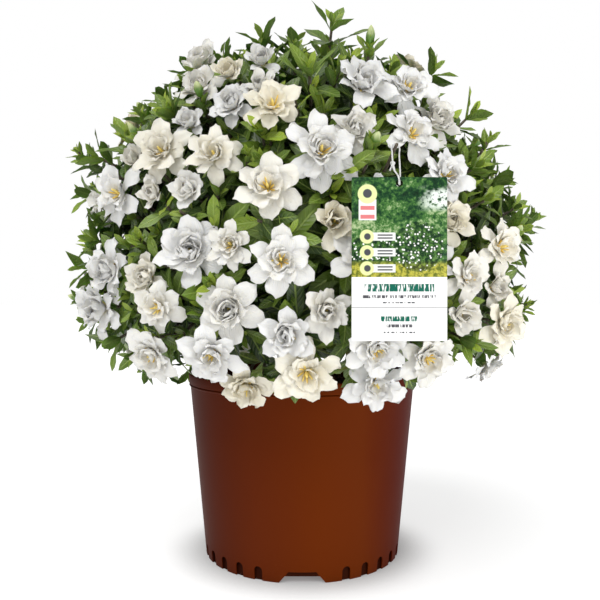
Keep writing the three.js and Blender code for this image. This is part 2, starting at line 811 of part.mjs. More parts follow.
/** The stem ring under or over a whorl: two points for each leaf. */
function stemRing(shoot, leaves, up) {
  const frame = across(shoot.axis);
  const middle = along(shoot, up);
  return leaves.flatMap((leaf, k) =>
    [-0.5, 0.5].map((side) => ({
      turn: (k + 0.5 + side / 2) / 3,
      point: around(middle, frame, SHOOT.stem, leaf.angle + side),
    })),
  );
}

/** The rim of a whorl: a valley, then up one edge of each leaf, its tip, and down the other. */
function leafRim(shoot, leaves) {
  const frame = across(shoot.axis);
  return leaves.flatMap((leaf, k) => [
    {
      turn: k / 3,
      point: around(along(shoot, leaf.up), frame, SHOOT.stem + 0.4, leaf.angle - Math.PI / 3),
    },
    { turn: (k + 0.25) / 3, point: leafPoint(shoot, leaf, LEAF.widest, -1) },
    { turn: (k + 0.5) / 3, point: leafPoint(shoot, leaf, 1, 0) },
    { turn: (k + 0.75) / 3, point: leafPoint(shoot, leaf, LEAF.widest, 1) },
  ]);
}

function buildShoot(shoot, line) {
  const from = twigRoot(shoot.place, line);
  const [lower, upper] = [shoot.leaves.slice(0, 3), shoot.leaves.slice(3)];
  const frame = across(shoot.place.clone().sub(from).normalize());
  const root = lower.map((leaf, k) => ({
    turn: (k + 0.5) / 3 + 1e-3,
    point: around(from, frame, TWIG.radius, lower[0].angle + (2 * Math.PI * (k + 0.5)) / 3),
  }));
  const rings = [root, stemRing(shoot, lower, -LEAF.root), leafRim(shoot, lower)];
  if (upper.length) {
    rings.push(stemRing(shoot, lower, SHOOT.step / 2), leafRim(shoot, upper));
  }
  const bud = (upper.length ? SHOOT.step : 0) + SHOOT.bud;
  return ringStack([...rings, [{ turn: 0, point: along(shoot, bud) }]]);
}

// ---------------------------------------------------------------- the tag and its string

function buildTag() {
  const { width, height, thick, corner, hole, holeDown } = TAG;
  const [x, z] = [width / 2, height];
  const card = new THREE.Shape();
  card.moveTo(-x + corner, 0);
  card.lineTo(x - corner, 0);
  card.absarc(x - corner, corner, corner, -Math.PI / 2, 0, false);
  card.absarc(x - corner, z - corner, corner, 0, Math.PI / 2, false);
  card.absarc(-x + corner, z - corner, corner, Math.PI / 2, Math.PI, false);
  card.absarc(-x + corner, corner, corner, Math.PI, 1.5 * Math.PI, false);
  card.holes.push(new THREE.Path().absarc(0, z - holeDown, hole, 0, 2 * Math.PI, true));
  const board = new THREE.ExtrudeGeometry(card, { depth: thick, bevelEnabled: false, curveSegments: 2 });
  board.rotateX(Math.PI / 2);
  board.translate(TAG_PLACE.x, TAG_PLACE.y + thick, TAG_PLACE.top - height);
  return solidOf(board);
}

/** The string: from the knot over the spur, down through the hole in the card, and up again. */
function buildString() {
  const [x, y, z] = STRING.peg;
  const { half, radius, knot } = STRING;
  const over = TWIG.radius + GAP + radius + 0.2;
  const card = TAG_PLACE.y + TAG.thick / 2;
  const hole = TAG_PLACE.top - TAG.holeDown;
  const knotPlace = vector(x - half, mix(y, card, 0.4) - 1, mix(z, hole, 0.45));
  const route = [
    knotPlace.clone(),
    vector(x - half, y - 0.5, z - 4),
    vector(x - half, y, z),
    vector(x, y, z + over),
    vector(x + half, y, z),
    vector(x + half, y, z - 5),
    vector(x + half, mix(y, card, 0.5) + 1.5, mix(z, hole, 0.5)),
    vector(TAG_PLACE.x + 0.8, card + 2, hole + 4),
    vector(TAG_PLACE.x, card, hole - 0.8),
    vector(TAG_PLACE.x - 0.8, card - 2, hole + 4),
    vector(x - half, mix(y, card, 0.7) - 2, mix(z, hole, 0.62)),
    knotPlace.clone().add(vector(0.3, 0, -0.4)),
  ];
  const cord = tube(new THREE.CatmullRomCurve3(route), radius, 3, 20);
  const bead = solidOf(new THREE.OctahedronGeometry(knot, 0).translate(...knotPlace.toArray()));
  return fuse([cord, bead]);
}

/** The bare spur that the string hangs on, with a small bud at its end. */
function buildSpur(line) {
  const peg = vector(...STRING.peg);
  const from = twigRoot(peg, line);
  const heading = vector(0, -1, 0.1).normalize();
  const frame = across(heading);
  const at = (along) => peg.clone().addScaledVector(heading, along);
  return ringStack([
    ring(from, frame, TWIG.radius + 0.3, 4),
    ring(at(-8), frame, TWIG.radius, 4),
    ring(at(3), frame, TWIG.radius, 4),
    ring(at(5), frame, TWIG.radius + 0.8, 4),
    [{ turn: 0, point: at(8) }],
  ]);
}

// ---------------------------------------------------------------- putting it together

function buildPlant() {
  const sites = bloomSites();
  groupBlooms(sites);
  spreadBlooms(sites);
  thinBlooms(sites);
  spreadBlooms(sites);
  aimBlooms(sites);
  const lines = branchLines();

  const clusters = [...new Set(sites.map((site) => site.group))].map((group) =>
    sites.filter((site) => site.group === group),
  );
  const blooms = clusters.map(buildCluster);

  const tag = buildTag();
  const string = buildString();
  const foliage = buildInnerFoliage();
  for (const line of lines) {
    line.parts = [buildCore(foliage, lines, line), buildLimb(line.limb)];
  }
  for (const site of sites) {
    const end = site.base.clone().addScaledVector(site.axis, -GAP);
    const line = branchOf(lines, site.base);
    line.parts.push(buildTwig(end, site.axis, line));
  }
  const tagLine = branchOf(lines, vector(...STRING.peg));
  tagLine.parts.push(buildSpur(tagLine));

  for (const shoot of shootSites(sites)) {
    const line = branchOf(lines, shoot.place);
    const solid = buildShoot(shoot, line);
    const others = lines.filter((other) => other !== line).flatMap((other) => other.parts);
    const blocked = [...blooms, tag, string, ...others].some((other) => crosses(solid, other));
    if (!blocked) line.parts.push(solid);
  }

  const number = (index) => String(index + 1).padStart(2, "0");
  addMesh("trunk", turned(trunkProfile(0), TRUNK.sides), MATERIALS.wood);
  lines.forEach((line, i) => addMesh(`leafy_branch_${number(i)}`, fuse(line.parts), MATERIALS.leaf));
  blooms.forEach((bloom, i) => addMesh(`bloom_${number(i)}`, bloom, MATERIALS.petal));
  addMesh("plant_tag", tag, MATERIALS.tag);
  addMesh("tag_string", string, MATERIALS.string);

  // The trunk stands where the crown's box is centred over the pot.
  const plant = new THREE.Group();
  plant.add(...meshes);
  const middle = new THREE.Box3().setFromObject(plant).getCenter(vector(0, 0, 0));
  plant.position.set(-middle.x, -middle.y, 0);
  return plant;
}

const plant = buildPlant();
const gardenia = new THREE.Group();
gardenia.add(
  addMesh("pot", buildPot(), MATERIALS.pot),
  addMesh("soil", buildSoil(plant.position), MATERIALS.soil),
  plant,
);

export default gardenia;
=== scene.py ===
"""A potted gardenia in full flower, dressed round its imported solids.

Lengths are millimetres, +Z up and the front towards -Y, until a mesh is made: meshes are in
metres. The plant stands where its trunk's solid stands. Its blooms and outer leaf shoots keep the
places that the solids have, and finer leaves, petals and wood fill them out.
"""

from __future__ import annotations

import json
import logging
import math
from contextlib import contextmanager
from dataclasses import dataclass, field
from enum import Enum
from typing import Callable, Iterator, Sequence

import bmesh
import bpy
import numpy as np
from mathutils import Matrix, Vector

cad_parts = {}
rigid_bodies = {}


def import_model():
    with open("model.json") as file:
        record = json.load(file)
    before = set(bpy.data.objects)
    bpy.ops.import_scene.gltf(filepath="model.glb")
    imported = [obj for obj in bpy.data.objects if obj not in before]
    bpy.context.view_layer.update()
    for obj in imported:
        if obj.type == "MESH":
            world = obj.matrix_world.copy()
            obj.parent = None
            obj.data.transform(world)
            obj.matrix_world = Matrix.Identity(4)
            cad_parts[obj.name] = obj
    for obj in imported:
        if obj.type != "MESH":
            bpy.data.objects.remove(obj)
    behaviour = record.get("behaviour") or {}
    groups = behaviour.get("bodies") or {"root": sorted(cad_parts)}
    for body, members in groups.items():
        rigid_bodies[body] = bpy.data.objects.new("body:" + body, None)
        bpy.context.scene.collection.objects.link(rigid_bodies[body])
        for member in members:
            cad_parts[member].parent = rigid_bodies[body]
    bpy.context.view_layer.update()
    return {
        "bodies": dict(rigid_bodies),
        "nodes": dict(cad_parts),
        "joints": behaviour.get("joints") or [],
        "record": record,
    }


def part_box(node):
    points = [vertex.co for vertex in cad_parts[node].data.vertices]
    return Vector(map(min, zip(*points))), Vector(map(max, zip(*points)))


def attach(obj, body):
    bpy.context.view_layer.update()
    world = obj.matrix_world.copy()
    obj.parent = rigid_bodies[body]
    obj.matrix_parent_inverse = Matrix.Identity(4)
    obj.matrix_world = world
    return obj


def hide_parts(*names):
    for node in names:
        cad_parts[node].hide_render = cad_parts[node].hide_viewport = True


LOG = logging.getLogger("gardenia")
MM = 0.001
ROOT = "root"
PLASTIC_NUMBER = 1.324718  # spreads points evenly over two directions
GOLDEN_TURN = 2.399963
UP = Vector((0.0, 0.0, 1.0))
PEG = (66.3, -233.0, 378.0)  # the end of the twig that the tag's elastic goes over

Piece = bpy.types.Object
Material = bpy.types.Material
Triple = tuple[float, float, float]
Colour = Triple
Rings = Sequence[tuple[float, float]]
Stops = Sequence[tuple[float, Colour]]


# ---- small helpers


def drift(index: float, key: float) -> float:
    """Gives a value from -1 to 1 that is the same on every run.

    Args:
        index: The number of the copy.
        key: The number of the property that varies.

    Returns:
        The value.
    """
    value = math.sin(index * 12.9898 + key * 78.233) * 43758.5453
    return 2.0 * (value - math.floor(value)) - 1.0


def mix(start: float, end: float, share: float) -> float:
    """Returns the value a share of the way from start to end."""
    return start + (end - start) * share


def across(axis: Vector) -> tuple[Vector, Vector]:
    """Finds two directions across an axis.

    Args:
        axis: A unit vector.

    Returns:
        Two unit vectors, the first as level as it can be.
    """
    level = UP if abs(axis.z) < 0.95 else Vector((0.0, 1.0, 0.0))
    side = level.cross(axis).normalized()
    return side, axis.cross(side).normalized()


def around(middle: Vector, frame: tuple[Vector, Vector], radius: float, angle: float) -> Vector:
    """Finds a point beside another one.

    Args:
        middle: The point in the middle.
        frame: Two directions across the axis that is turned round.
        radius: The distance from the middle.
        angle: The turn, in radians.

    Returns:
        The point.
    """
    return middle + frame[0] * (radius * math.cos(angle)) + frame[1] * (radius * math.sin(angle))


def only(piece: Piece) -> None:
    """Selects one piece alone and makes it active.

    Args:
        piece: The piece.
    """
    bpy.ops.object.select_all(action="DESELECT")
    piece.select_set(True)
    bpy.context.view_layer.objects.active = piece


@contextmanager
def editing(piece: Piece, kind: str = "VERT", action: str = "DESELECT") -> Iterator[None]:
    """Opens a piece in edit mode.

    Args:
        piece: The piece.
        kind: What is picked: VERT, EDGE or FACE.
        action: Whether it opens with nothing selected, DESELECT, or all, SELECT.
    """
    only(piece)
    bpy.ops.object.mode_set(mode="EDIT")
    bpy.ops.mesh.select_mode(type=kind)
    bpy.ops.mesh.select_all(action=action)
    try:
        yield
    finally:
        bpy.ops.object.mode_set(mode="OBJECT")


def turn_outwards() -> None:
    """Turns all faces of the piece in edit mode outwards."""
    bpy.ops.mesh.select_all(action="SELECT")
    bpy.ops.mesh.normals_make_consistent(inside=False)


def pick(piece: Piece, wanted: Callable[[Vector], bool]) -> None:
    """Selects the corners, or in face mode the faces, whose middle a test accepts.

    Args:
        piece: The piece in edit mode.
        wanted: The test.
    """
    shape = bmesh.from_edit_mesh(piece.data)
    if "FACE" in shape.select_mode:
        for face in shape.faces:
            face.select_set(wanted(face.calc_center_median()))
    else:
        for corner in shape.verts:
            corner.select_set(wanted(corner.co))
    shape.select_flush_mode()
    bmesh.update_edit_mesh(piece.data)


def named(name: str) -> Piece:
    """Names the active object.

    Args:
        name: Its name.

    Returns:
        The object.
    """
    piece = bpy.context.object
    piece.name = name
    piece.data.name = name
    return piece


def apply_modifier(piece: Piece, kind: str, **settings: object) -> None:
    """Adds a modifier and applies it.

    Args:
        piece: The piece.
        kind: The modifier's type.
        settings: Its settings.
    """
    only(piece)
    modifier = piece.modifiers.new(kind.title(), kind)
    for key, value in settings.items():
        setattr(modifier, key, value)
    bpy.ops.object.modifier_apply(modifier=modifier.name)


def settle(piece: Piece) -> None:
    """Moves a piece's place, turn and scale into its mesh."""
    only(piece)
    bpy.ops.object.transform_apply(location=True, rotation=True, scale=True)


def joined(pieces: Sequence[Piece]) -> Piece:
    """Joins pieces into the first one.

    Args:
        pieces: The pieces.

    Returns:
        The joined piece.
    """
    bpy.ops.object.select_all(action="DESELECT")
    for piece in pieces:
        piece.select_set(True)
    bpy.context.view_layer.objects.active = pieces[0]
    bpy.ops.object.join()
    return bpy.context.object


def raised(name: str, profile: Rings, sides: int) -> Piece:
    """Raises a round closed piece from a filled ring, one extrusion for each profile point.

    Args:
        name: The piece's name.
        profile: Radius and height of each ring, in millimetres, from the first cap to the last.
        sides: The number of sides.

    Returns:
        The piece.
    """
    (radius, height), *others = profile
    bpy.ops.mesh.primitive_circle_add(
        vertices=sides, radius=radius * MM, fill_type="NGON", location=(0.0, 0.0, height * MM)
    )
    piece = named(name)
    settle(piece)
    with editing(piece, "FACE", "SELECT"):
        for wider, higher in others:
            lift = (0.0, 0.0, (higher - height) * MM)
            bpy.ops.mesh.extrude_region_move(TRANSFORM_OT_translate={"value": lift})
            spread = wider / radius
            bpy.ops.transform.resize(
                value=(spread, spread, 1.0), center_override=(0.0, 0.0, higher * MM)
            )
            radius, height = wider, higher
        turn_outwards()
    return piece


def dressed(
    piece: Piece, finish: Material, replaces: Sequence[str] = (), sharp: float = 60.0
) -> None:
    """Gives a finished piece its material, its smooth shading and its place in the part.

    Args:
        piece: The piece.
        finish: Its material.
        replaces: The solids that it stands for.
        sharp: The angle between faces past which an edge stays sharp, in degrees.
    """
    only(piece)
    piece.data.materials.clear()
    piece.data.materials.append(finish)
    bpy.ops.object.shade_smooth_by_angle(angle=math.radians(sharp))
    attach(piece, ROOT)
    if replaces:
        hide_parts(*replaces)
    LOG.info("%s: %d faces", piece.name, len(piece.data.polygons))


# ---- shader sockets


def operator(operation: str, swapped: bool = False) -> Callable[..., Wire]:
    """Makes a method of Wire that adds a Math node.

    Args:
        operation: The node's operation.
        swapped: Whether the wire is the last of its values.

    Returns:
        The method.
    """

    def method(wire: Wire, *others: Wire | float) -> Wire:
        """Adds the node."""
        values = enumerate((*others, wire) if swapped else (wire, *others))
        return wire.tree.node("ShaderNodeMath", {"operation": operation}, dict(values))

    return method


class Wire:
    """A shader socket's value, with arithmetic that adds Math nodes."""

    __add__ = __radd__ = operator("ADD")
    __sub__, __rsub__ = operator("SUBTRACT"), operator("SUBTRACT", swapped=True)
    __mul__ = __rmul__ = operator("MULTIPLY")
    __truediv__, __rtruediv__ = operator("DIVIDE"), operator("DIVIDE", swapped=True)
    __pow__, __abs__ = operator("POWER"), operator("ABSOLUTE")
    sine, least = operator("SINE"), operator("MINIMUM")

    def __init__(self, tree: Tree, socket: bpy.types.NodeSocket) -> None:
        """Keeps the socket and the tree that it is in."""
        self.tree = tree
        self.socket = socket

    def step(self, start: float, end: float) -> Wire:
        """Rises smoothly from 0 at start to 1 at end, or falls where end is the smaller.

        Args:
            start: The value that gives 0.
            end: The value that gives 1.

        Returns:
            The share.
        """
        low, high, rising = (start, end, True) if start < end else (end, start, False)
        ends = {"To Min": 0.0 if rising else 1.0, "To Max": 1.0 if rising else 0.0}
        return self.tree.node(
            "ShaderNodeMapRange",
            {"interpolation_type": "SMOOTHSTEP"},
            {"Value": self, "From Min": low, "From Max": high, **ends},
        )

    def near(self, value: float, half: float, soft: float) -> Wire:
        """Is 1 within half of a value and falls to 0 over soft beyond that."""
        return abs(self - value).step(half + soft, half)


class Tree:
    """A material's node tree."""

    def __init__(self, name: str) -> None:
        """Makes an empty material.

        Args:
            name: The material's name.
        """
        self.material = bpy.data.materials.new(name)
        self.material.use_nodes = True
        self.tree = self.material.node_tree
        self.tree.nodes.clear()

    def node(
        self,
        kind: str,
        settings: dict[str, object] | None = None,
        values: dict[str | int, object] | None = None,
        output: str | int = 0,
    ) -> Wire:
        """Adds a node.

        Args:
            kind: The node's type.
            settings: Its settings, set first. For a ramp, "stops" lists position and colour.
            values: The value or link of each socket, by name or number.
            output: The output that is wanted, by name or number.

        Returns:
            The output.
        """
        made = self.tree.nodes.new(kind)
        for key, value in (settings or {}).items():
            if key == "stops":
                self._set_stops(made.color_ramp, value)
            else:
                setattr(made, key, value)
        for key, value in (values or {}).items():
            if isinstance(value, Wire):
                self.tree.links.new(value.socket, made.inputs[key])
            else:
                made.inputs[key].default_value = value
        return Wire(self, made.outputs[output])

    @staticmethod
    def _set_stops(ramp: bpy.types.ColorRamp, stops: Stops) -> None:
        """Sets a ramp's colours.

        Args:
            ramp: The ramp.
            stops: The position and colour of each stop, in order.
        """
        while len(ramp.elements) < len(stops):
            ramp.elements.new(1.0)
        for element, (position, colour) in zip(ramp.elements, stops):
            element.position = position
            element.color = (*colour, 1.0)

    def place(self) -> Wire:
        """Returns the point's place in the part, in metres."""
        return self.node("ShaderNodeTexCoord", output="Object")

    def mark(self, name: str) -> Wire:
        """Returns a number that the piece's mesh holds at each corner."""
        return self.node("ShaderNodeAttribute", {"attribute_name": name}, output="Fac")

    def axes(self, point: Wire) -> list[Wire]:
        """Splits a point into its three coordinates."""
        split = self.node("ShaderNodeSeparateXYZ", values={0: point}).socket.node
        return [Wire(self, output) for output in split.outputs]

    def blade(self) -> list[Wire]:
        """Returns how far across and how far along its leaf, petal or stem a point is."""
        return self.axes(self.node("ShaderNodeUVMap", {"uv_map": "blade"}))[:2]

    def noise(self, point: Wire, size: float, detail: float = 3.0, rough: float = 0.55) -> Wire:
        """Returns a cloudy value from 0 to 1.

        Args:
            point: Where it is read.
            size: The size of its clouds, in the point's units.
            detail: How many finer layers it has.
            rough: How strong they are.

        Returns:
            The value.
        """
        values = {"Vector": point, "Scale": 1.0 / size, "Detail": detail, "Roughness": rough}
        return self.node("ShaderNodeTexNoise", values=values)

    def spots(self, point: Wire, size: float) -> Wire:
        """Returns the distance from the nearest of many scattered points."""
        return self.node("ShaderNodeTexVoronoi", values={"Vector": point, "Scale": 1.0 / size})

    def scaled(self, point: Wire, scale: Triple) -> Wire:
        """Stretches a pattern along the axes."""
        settings = {"operation": "MULTIPLY"}
        return self.node("ShaderNodeVectorMath", settings, {0: point, 1: scale})

    def ramp(self, value: Wire, stops: Stops) -> Wire:
        """Turns a value into a colour."""
        return self.node("ShaderNodeValToRGB", {"stops": stops}, {0: value})

    def blend(self, share: Wire | float, first: Wire | Colour, second: Wire | Colour) -> Wire:
        """Mixes two colours.

        Args:
            share: How much of the second colour shows.
            first: The first colour.
            second: The second colour.

        Returns:
            The mixed colour.
        """
        colours = [c if isinstance(c, Wire) else (*c, 1.0) for c in (first, second)]
        return self.node(
            "ShaderNodeMix",
            {"data_type": "RGBA"},
            {"Factor": share, 6: colours[0], 7: colours[1]},
            output=2,
        )

    def bump(self, height: Wire, depth: float, strength: float = 1.0) -> Wire:
        """Returns the normal of a relief.

        Args:
            height: The relief, from 0 to 1.
            depth: Its depth, in metres.
            strength: How strongly it shows.

        Returns:
            The normal.
        """
        return self.node(
            "ShaderNodeBump", values={"Height": height, "Distance": depth, "Strength": strength}
        )

    def surface(self, **sockets: object) -> Material:
        """Finishes the material with a Principled shader.

        Args:
            sockets: The values of its sockets, with _ for a space.

        Returns:
            The material.
        """
        values = {}
        for key, value in sockets.items():
            is_colour = isinstance(value, tuple) and key != "Subsurface_Radius"
            values[key.replace("_", " ")] = (*value, 1.0) if is_colour else value
        shader = self.node("ShaderNodeBsdfPrincipled", values=values)
        output = self.tree.nodes.new("ShaderNodeOutputMaterial")
        self.tree.links.new(shader.socket, output.inputs["Surface"])
        return self.material


# ---- finishes


@dataclass(frozen=True)
class LeafFinish:
    """A waxy leaf: yellow-green when young, dark when old, with a pale midrib and sunken veins; its
    darkest colour is partly painted shade.
    """

    lime: Colour = (0.36, 0.47, 0.045)
    fresh: Colour = (0.150, 0.235, 0.026)
    mature: Colour = (0.030, 0.066, 0.010)
    # Partly painted shade: the dark green of old leaves, made darker for those deep in the crown.
    old: Colour = (0.012, 0.028, 0.006)
    rib: Colour = (0.34, 0.46, 0.10)
    underside: Colour = (0.20, 0.30, 0.09)
    fleck: Colour = (0.16, 0.12, 0.03)
    veins: float = 8.0

    def make(self) -> Material:
        """Builds the material.

        Returns:
            The material.
        """
        tree = Tree("waxy_leaf")
        u, v = tree.blade()
        side = abs(u - 0.5) * 2.0
        tone, age, under = tree.mark("tone"), tree.mark("age"), tree.mark("under")
        point = tree.place()
        cloud = tree.noise(point, 0.011)
        ageing = age + (cloud - 0.5) * 0.22 + tone * 0.15
        # The dark end of this ramp is partly painted shade: the leaves deep in the crown get it.
        stops = [(0.0, self.lime), (0.3, self.fresh), (0.62, self.mature), (1.0, self.old)]
        blade = tree.ramp(ageing, stops)
        chevrons = ((v * self.veins - side * 1.55) * math.tau).sine()
        vein = chevrons.step(0.80, 1.0) * side.step(1.0, 0.75)
        midrib = side.step(0.16, 0.05) * v.step(1.02, 0.7)
        blade = tree.blend(vein * 0.22, blade, self.rib)
        blade = tree.blend(midrib * 0.62, blade, self.rib)
        blade = tree.blend(under, blade, tree.blend(0.55, blade, self.underside))
        fleck = tree.spots(point, 0.006).step(0.10, 0.03) * cloud.step(0.56, 0.62)
        blade = tree.blend(fleck * 0.5, blade, self.fleck)
        quilt = chevrons * 0.30 * side.step(1.0, 0.6)
        relief = quilt - vein * 0.35 - midrib * 0.9 + tree.noise(point, 0.0016) * 0.12
        return tree.surface(
            Base_Color=blade,
            Roughness=0.26 + under * 0.26 + cloud * 0.10,
            Normal=tree.bump(relief, 0.0006, 0.75),
            Specular_IOR_Level=0.36, Coat_Weight=0.16, Coat_Roughness=0.14,
            Subsurface_Weight=0.06, Subsurface_Radius=(0.25, 1.0, 0.1), Subsurface_Scale=0.002,
        )


@dataclass(frozen=True)
class PetalFinish:
    """A velvety petal: white when fresh, cream when older, yellow-green towards its foot."""

    fresh: Colour = (0.80, 0.795, 0.775)
    cream: Colour = (0.82, 0.77, 0.63)
    foot: Colour = (0.86, 0.79, 0.42)
    streak: Colour = (0.72, 0.70, 0.60)
    bruise: Colour = (0.66, 0.52, 0.24)

    def make(self) -> Material:
        """Builds the material.

        Returns:
            The material.
        """
        tree = Tree("velvet_petal")
        u, v = tree.blade()
        side = (u - 0.5) * 2.0
        age = tree.mark("age")
        point = tree.place()
        cloud = tree.noise(point, 0.012)
        white = tree.blend((age + (cloud - 0.5) * 0.5).step(0.05, 0.95), self.fresh, self.cream)
        foot = v.step(0.30, 0.02)
        white = tree.blend(foot * 0.62, white, self.foot)
        streak = (side * 34.0 + tree.noise(point, 0.006) * 5.0).sine()
        white = tree.blend(streak.step(0.2, 1.0) * 0.06, white, self.streak)
        bruise = cloud.step(0.66, 0.78) * v.step(0.55, 1.0)
        white = tree.blend(bruise * 0.22 * age, white, self.bruise)
        relief = streak * 0.35 + tree.noise(point, 0.0009) * 0.3
        return tree.surface(
            Base_Color=white,
            Roughness=0.52 + cloud * 0.12,
            Normal=tree.bump(relief, 0.00022, 0.7),
            Specular_IOR_Level=0.35, Sheen_Weight=0.12, Sheen_Roughness=0.4,
            Subsurface_Weight=0.22, Subsurface_Radius=(1.0, 0.85, 0.6), Subsurface_Scale=0.0016,
        )


@dataclass(frozen=True)
class PollenFinish:
    """Stamens and stigma: golden yellow, dusty orange at the tips."""

    gold: Colour = (0.93, 0.76, 0.24)
    dust: Colour = (0.90, 0.62, 0.13)

    def make(self) -> Material:
        """Builds the material.

        Returns:
            The material.
        """
        tree = Tree("pollen_gold")
        point = tree.place()
        grain = tree.noise(point, 0.0009, 4.0)
        age = tree.mark("age")
        colour = tree.blend((grain + age * 0.5).step(0.35, 0.95), self.gold, self.dust)
        return tree.surface(
            Base_Color=colour,
            Roughness=0.72 + grain * 0.15,
            Normal=tree.bump(grain, 0.0003, 0.8),
            Specular_IOR_Level=0.3,
        )


@dataclass(frozen=True)
class CalyxFinish:
    """The flower's tube and sepals: leaf green below, pale green-white where the petals start."""

    green: Colour = (0.105, 0.22, 0.03)
    pale: Colour = (0.55, 0.60, 0.30)

    def make(self) -> Material:
        """Builds the material.

        Returns:
            The material.
        """
        tree = Tree("calyx_green")
        _, v = tree.blade()
        cloud = tree.noise(tree.place(), 0.003)
        colour = tree.blend((v + (cloud - 0.5) * 0.3).step(0.45, 0.95), self.green, self.pale)
        return tree.surface(
            Base_Color=colour,
            Roughness=0.42 + cloud * 0.12,
            Normal=tree.bump(cloud, 0.0003, 0.5),
            Subsurface_Weight=0.08, Subsurface_Scale=0.001,
        )


@dataclass(frozen=True)
class BarkFinish:
    """Thin bark: green-brown on young wood, grey-brown and split along the stem on old wood."""

    young: Colour = (0.075, 0.070, 0.030)
    brown: Colour = (0.060, 0.043, 0.028)
    grey: Colour = (0.17, 0.145, 0.115)
    lichen: Colour = (0.22, 0.23, 0.17)

    def make(self) -> Material:
        """Builds the material.

        Returns:
            The material.
        """
        tree = Tree("grey_bark")
        point = tree.place()
        grain = tree.noise(tree.scaled(point, (1.0, 1.0, 0.22)), 0.0022, 5.0, 0.65)
        patch = tree.noise(point, 0.009)
        lichen = tree.spots(point, 0.004).step(0.35, 0.12) * patch.step(0.5, 0.65)
        colour = tree.blend(grain.step(0.32, 0.68), self.brown, self.grey)
        colour = tree.blend(patch.step(0.45, 0.75) * 0.5, colour, self.young)
        colour = tree.blend(lichen * 0.4, colour, self.lichen)
        return tree.surface(
            Base_Color=colour,
            Roughness=0.78 + grain * 0.14,
            Normal=tree.bump(grain + patch * 0.4, 0.0011, 0.9),
            Specular_IOR_Level=0.25,
        )


@dataclass(frozen=True)
class BarkMixFinish:
    """Potting mix: damp dark fibre with red-brown and pale bark chips."""

    damp: Colour = (0.020, 0.013, 0.008)
    red: Colour = (0.105, 0.048, 0.022)
    pale: Colour = (0.21, 0.14, 0.085)

    def make(self) -> Material:
        """Builds the material.

        Returns:
            The material.
        """
        tree = Tree("bark_mix")
        point = tree.place()
        tone = tree.mark("tone")
        grain = tree.noise(tree.scaled(point, (1.0, 0.4, 1.0)), 0.0024, 5.0, 0.6)
        crumbs = tree.noise(point, 0.0011, 4.0)
        stops = [(0.12, self.damp), (0.5, self.red), (0.95, self.pale)]
        colour = tree.ramp(tone * 0.5 + grain * 0.42, stops)
        colour = tree.blend(crumbs.step(0.55, 0.72) * 0.5, colour, self.damp)
        return tree.surface(
            Base_Color=colour,
            Roughness=0.88,
            Normal=tree.bump(grain + crumbs * 0.6, 0.0012, 0.9),
            Specular_IOR_Level=0.2,
        )


@dataclass(frozen=True)
class PotFinish:
    """Satin moulded red-brown plastic, with painted shade at both sides and painted light right of
    the middle; dust and painted recess shade near the foot.
    """

    # The next four colours paint light and shade across the front: shade at the left, brown, lit
    # warm brown right of the middle, deep shade at the right edge.
    shade: Colour = (0.062, 0.0080, 0.0014)
    brown: Colour = (0.100, 0.0150, 0.0018)
    painted_lit_brown: Colour = (0.119, 0.0185, 0.0004)
    deep: Colour = (0.070, 0.0035, 0.0002)
    scuff: Colour = (0.17, 0.05, 0.015)
    dust: Colour = (0.20, 0.12, 0.07)
    # Painted shade colour for the recesses round the foot.
    painted_recess_shade: Colour = (0.010, 0.0022, 0.0012)
    across: float = 0.24
    foot: float = 0.1015
    slope: float = 0.0946

    def make(self) -> Material:
        """Builds the material.

        Returns:
            The material.
        """
        tree = Tree("pot_plastic")
        point = tree.place()
        x, y, height = tree.axes(point)
        sunk = (x * x + y * y) ** 0.5 - height * self.slope
        # Painted shade: the recesses round the foot are darkened almost to black.
        painted_recess_shade = sunk.near(self.foot - 0.0032, 0.0018, 0.0005) * height.step(0.017, 0.0145)
        flow = tree.noise(tree.scaled(point, (1.0, 1.0, 0.35)), 0.07, 4.0)
        peel = tree.noise(point, 0.0012, 2.0)
        rubbed = tree.noise(tree.scaled(point, (1.0, 1.0, 3.0)), 0.006, 5.0, 0.7)
        ends = height.step(0.030, 0.0) + height.near(0.186, 0.002, 0.002)
        scuffed = rubbed.step(0.60, 0.74) * ends.least(1.0)
        dust = tree.noise(point, 0.0032, 5.0, 0.7).step(0.62, 0.80)
        dust *= height.step(0.11, 0.0) * 0.5 + 0.12
        # Painted light and shade: the ramp runs across X, dark at both sides and lit right of the
        # middle.
        stops = [(0.07, self.shade), (0.30, self.brown), (0.58, self.painted_lit_brown), (0.74, self.painted_lit_brown)]
        stops.append((0.97, self.deep))
        colour = tree.ramp(x / self.across + flow * 0.16 + 0.42, stops)
        colour = tree.blend(scuffed * 0.4, colour, self.scuff)
        colour = tree.blend(dust * 0.16, colour, self.dust)
        colour = tree.blend(painted_recess_shade * 0.8, colour, self.painted_recess_shade)
        return tree.surface(
            Base_Color=colour,
            Roughness=0.50 + scuffed * 0.2 + dust * 0.15 + flow * 0.08,
            Normal=tree.bump(peel + rubbed * 0.15, 0.00012, 0.6),
            Specular_IOR_Level=0.04,
        )


@dataclass(frozen=True)
class ElasticFinish:
    """White covered elastic: a tight braid round the core."""

    thread: Colour = (0.82, 0.82, 0.80)
    shade: Colour = (0.50, 0.50, 0.49)
    rise: float = 5200.0
    turn: float = 2600.0

    def make(self) -> Material:
        """Builds the material.

        Returns:
            The material.
        """
        tree = Tree("covered_elastic")
        x, y, z = tree.axes(tree.place())
        up, round_it = z * self.rise, (x + y) * self.turn
        braid = (up + round_it).sine() * (up - round_it).sine()
        return tree.surface(
            Base_Color=tree.blend(braid.step(-0.6, 0.6), self.shade, self.thread),
            Roughness=0.82 + braid * 0.06,
            Normal=tree.bump(braid, 0.0002, 0.6),
            Sheen_Weight=0.2,
        )


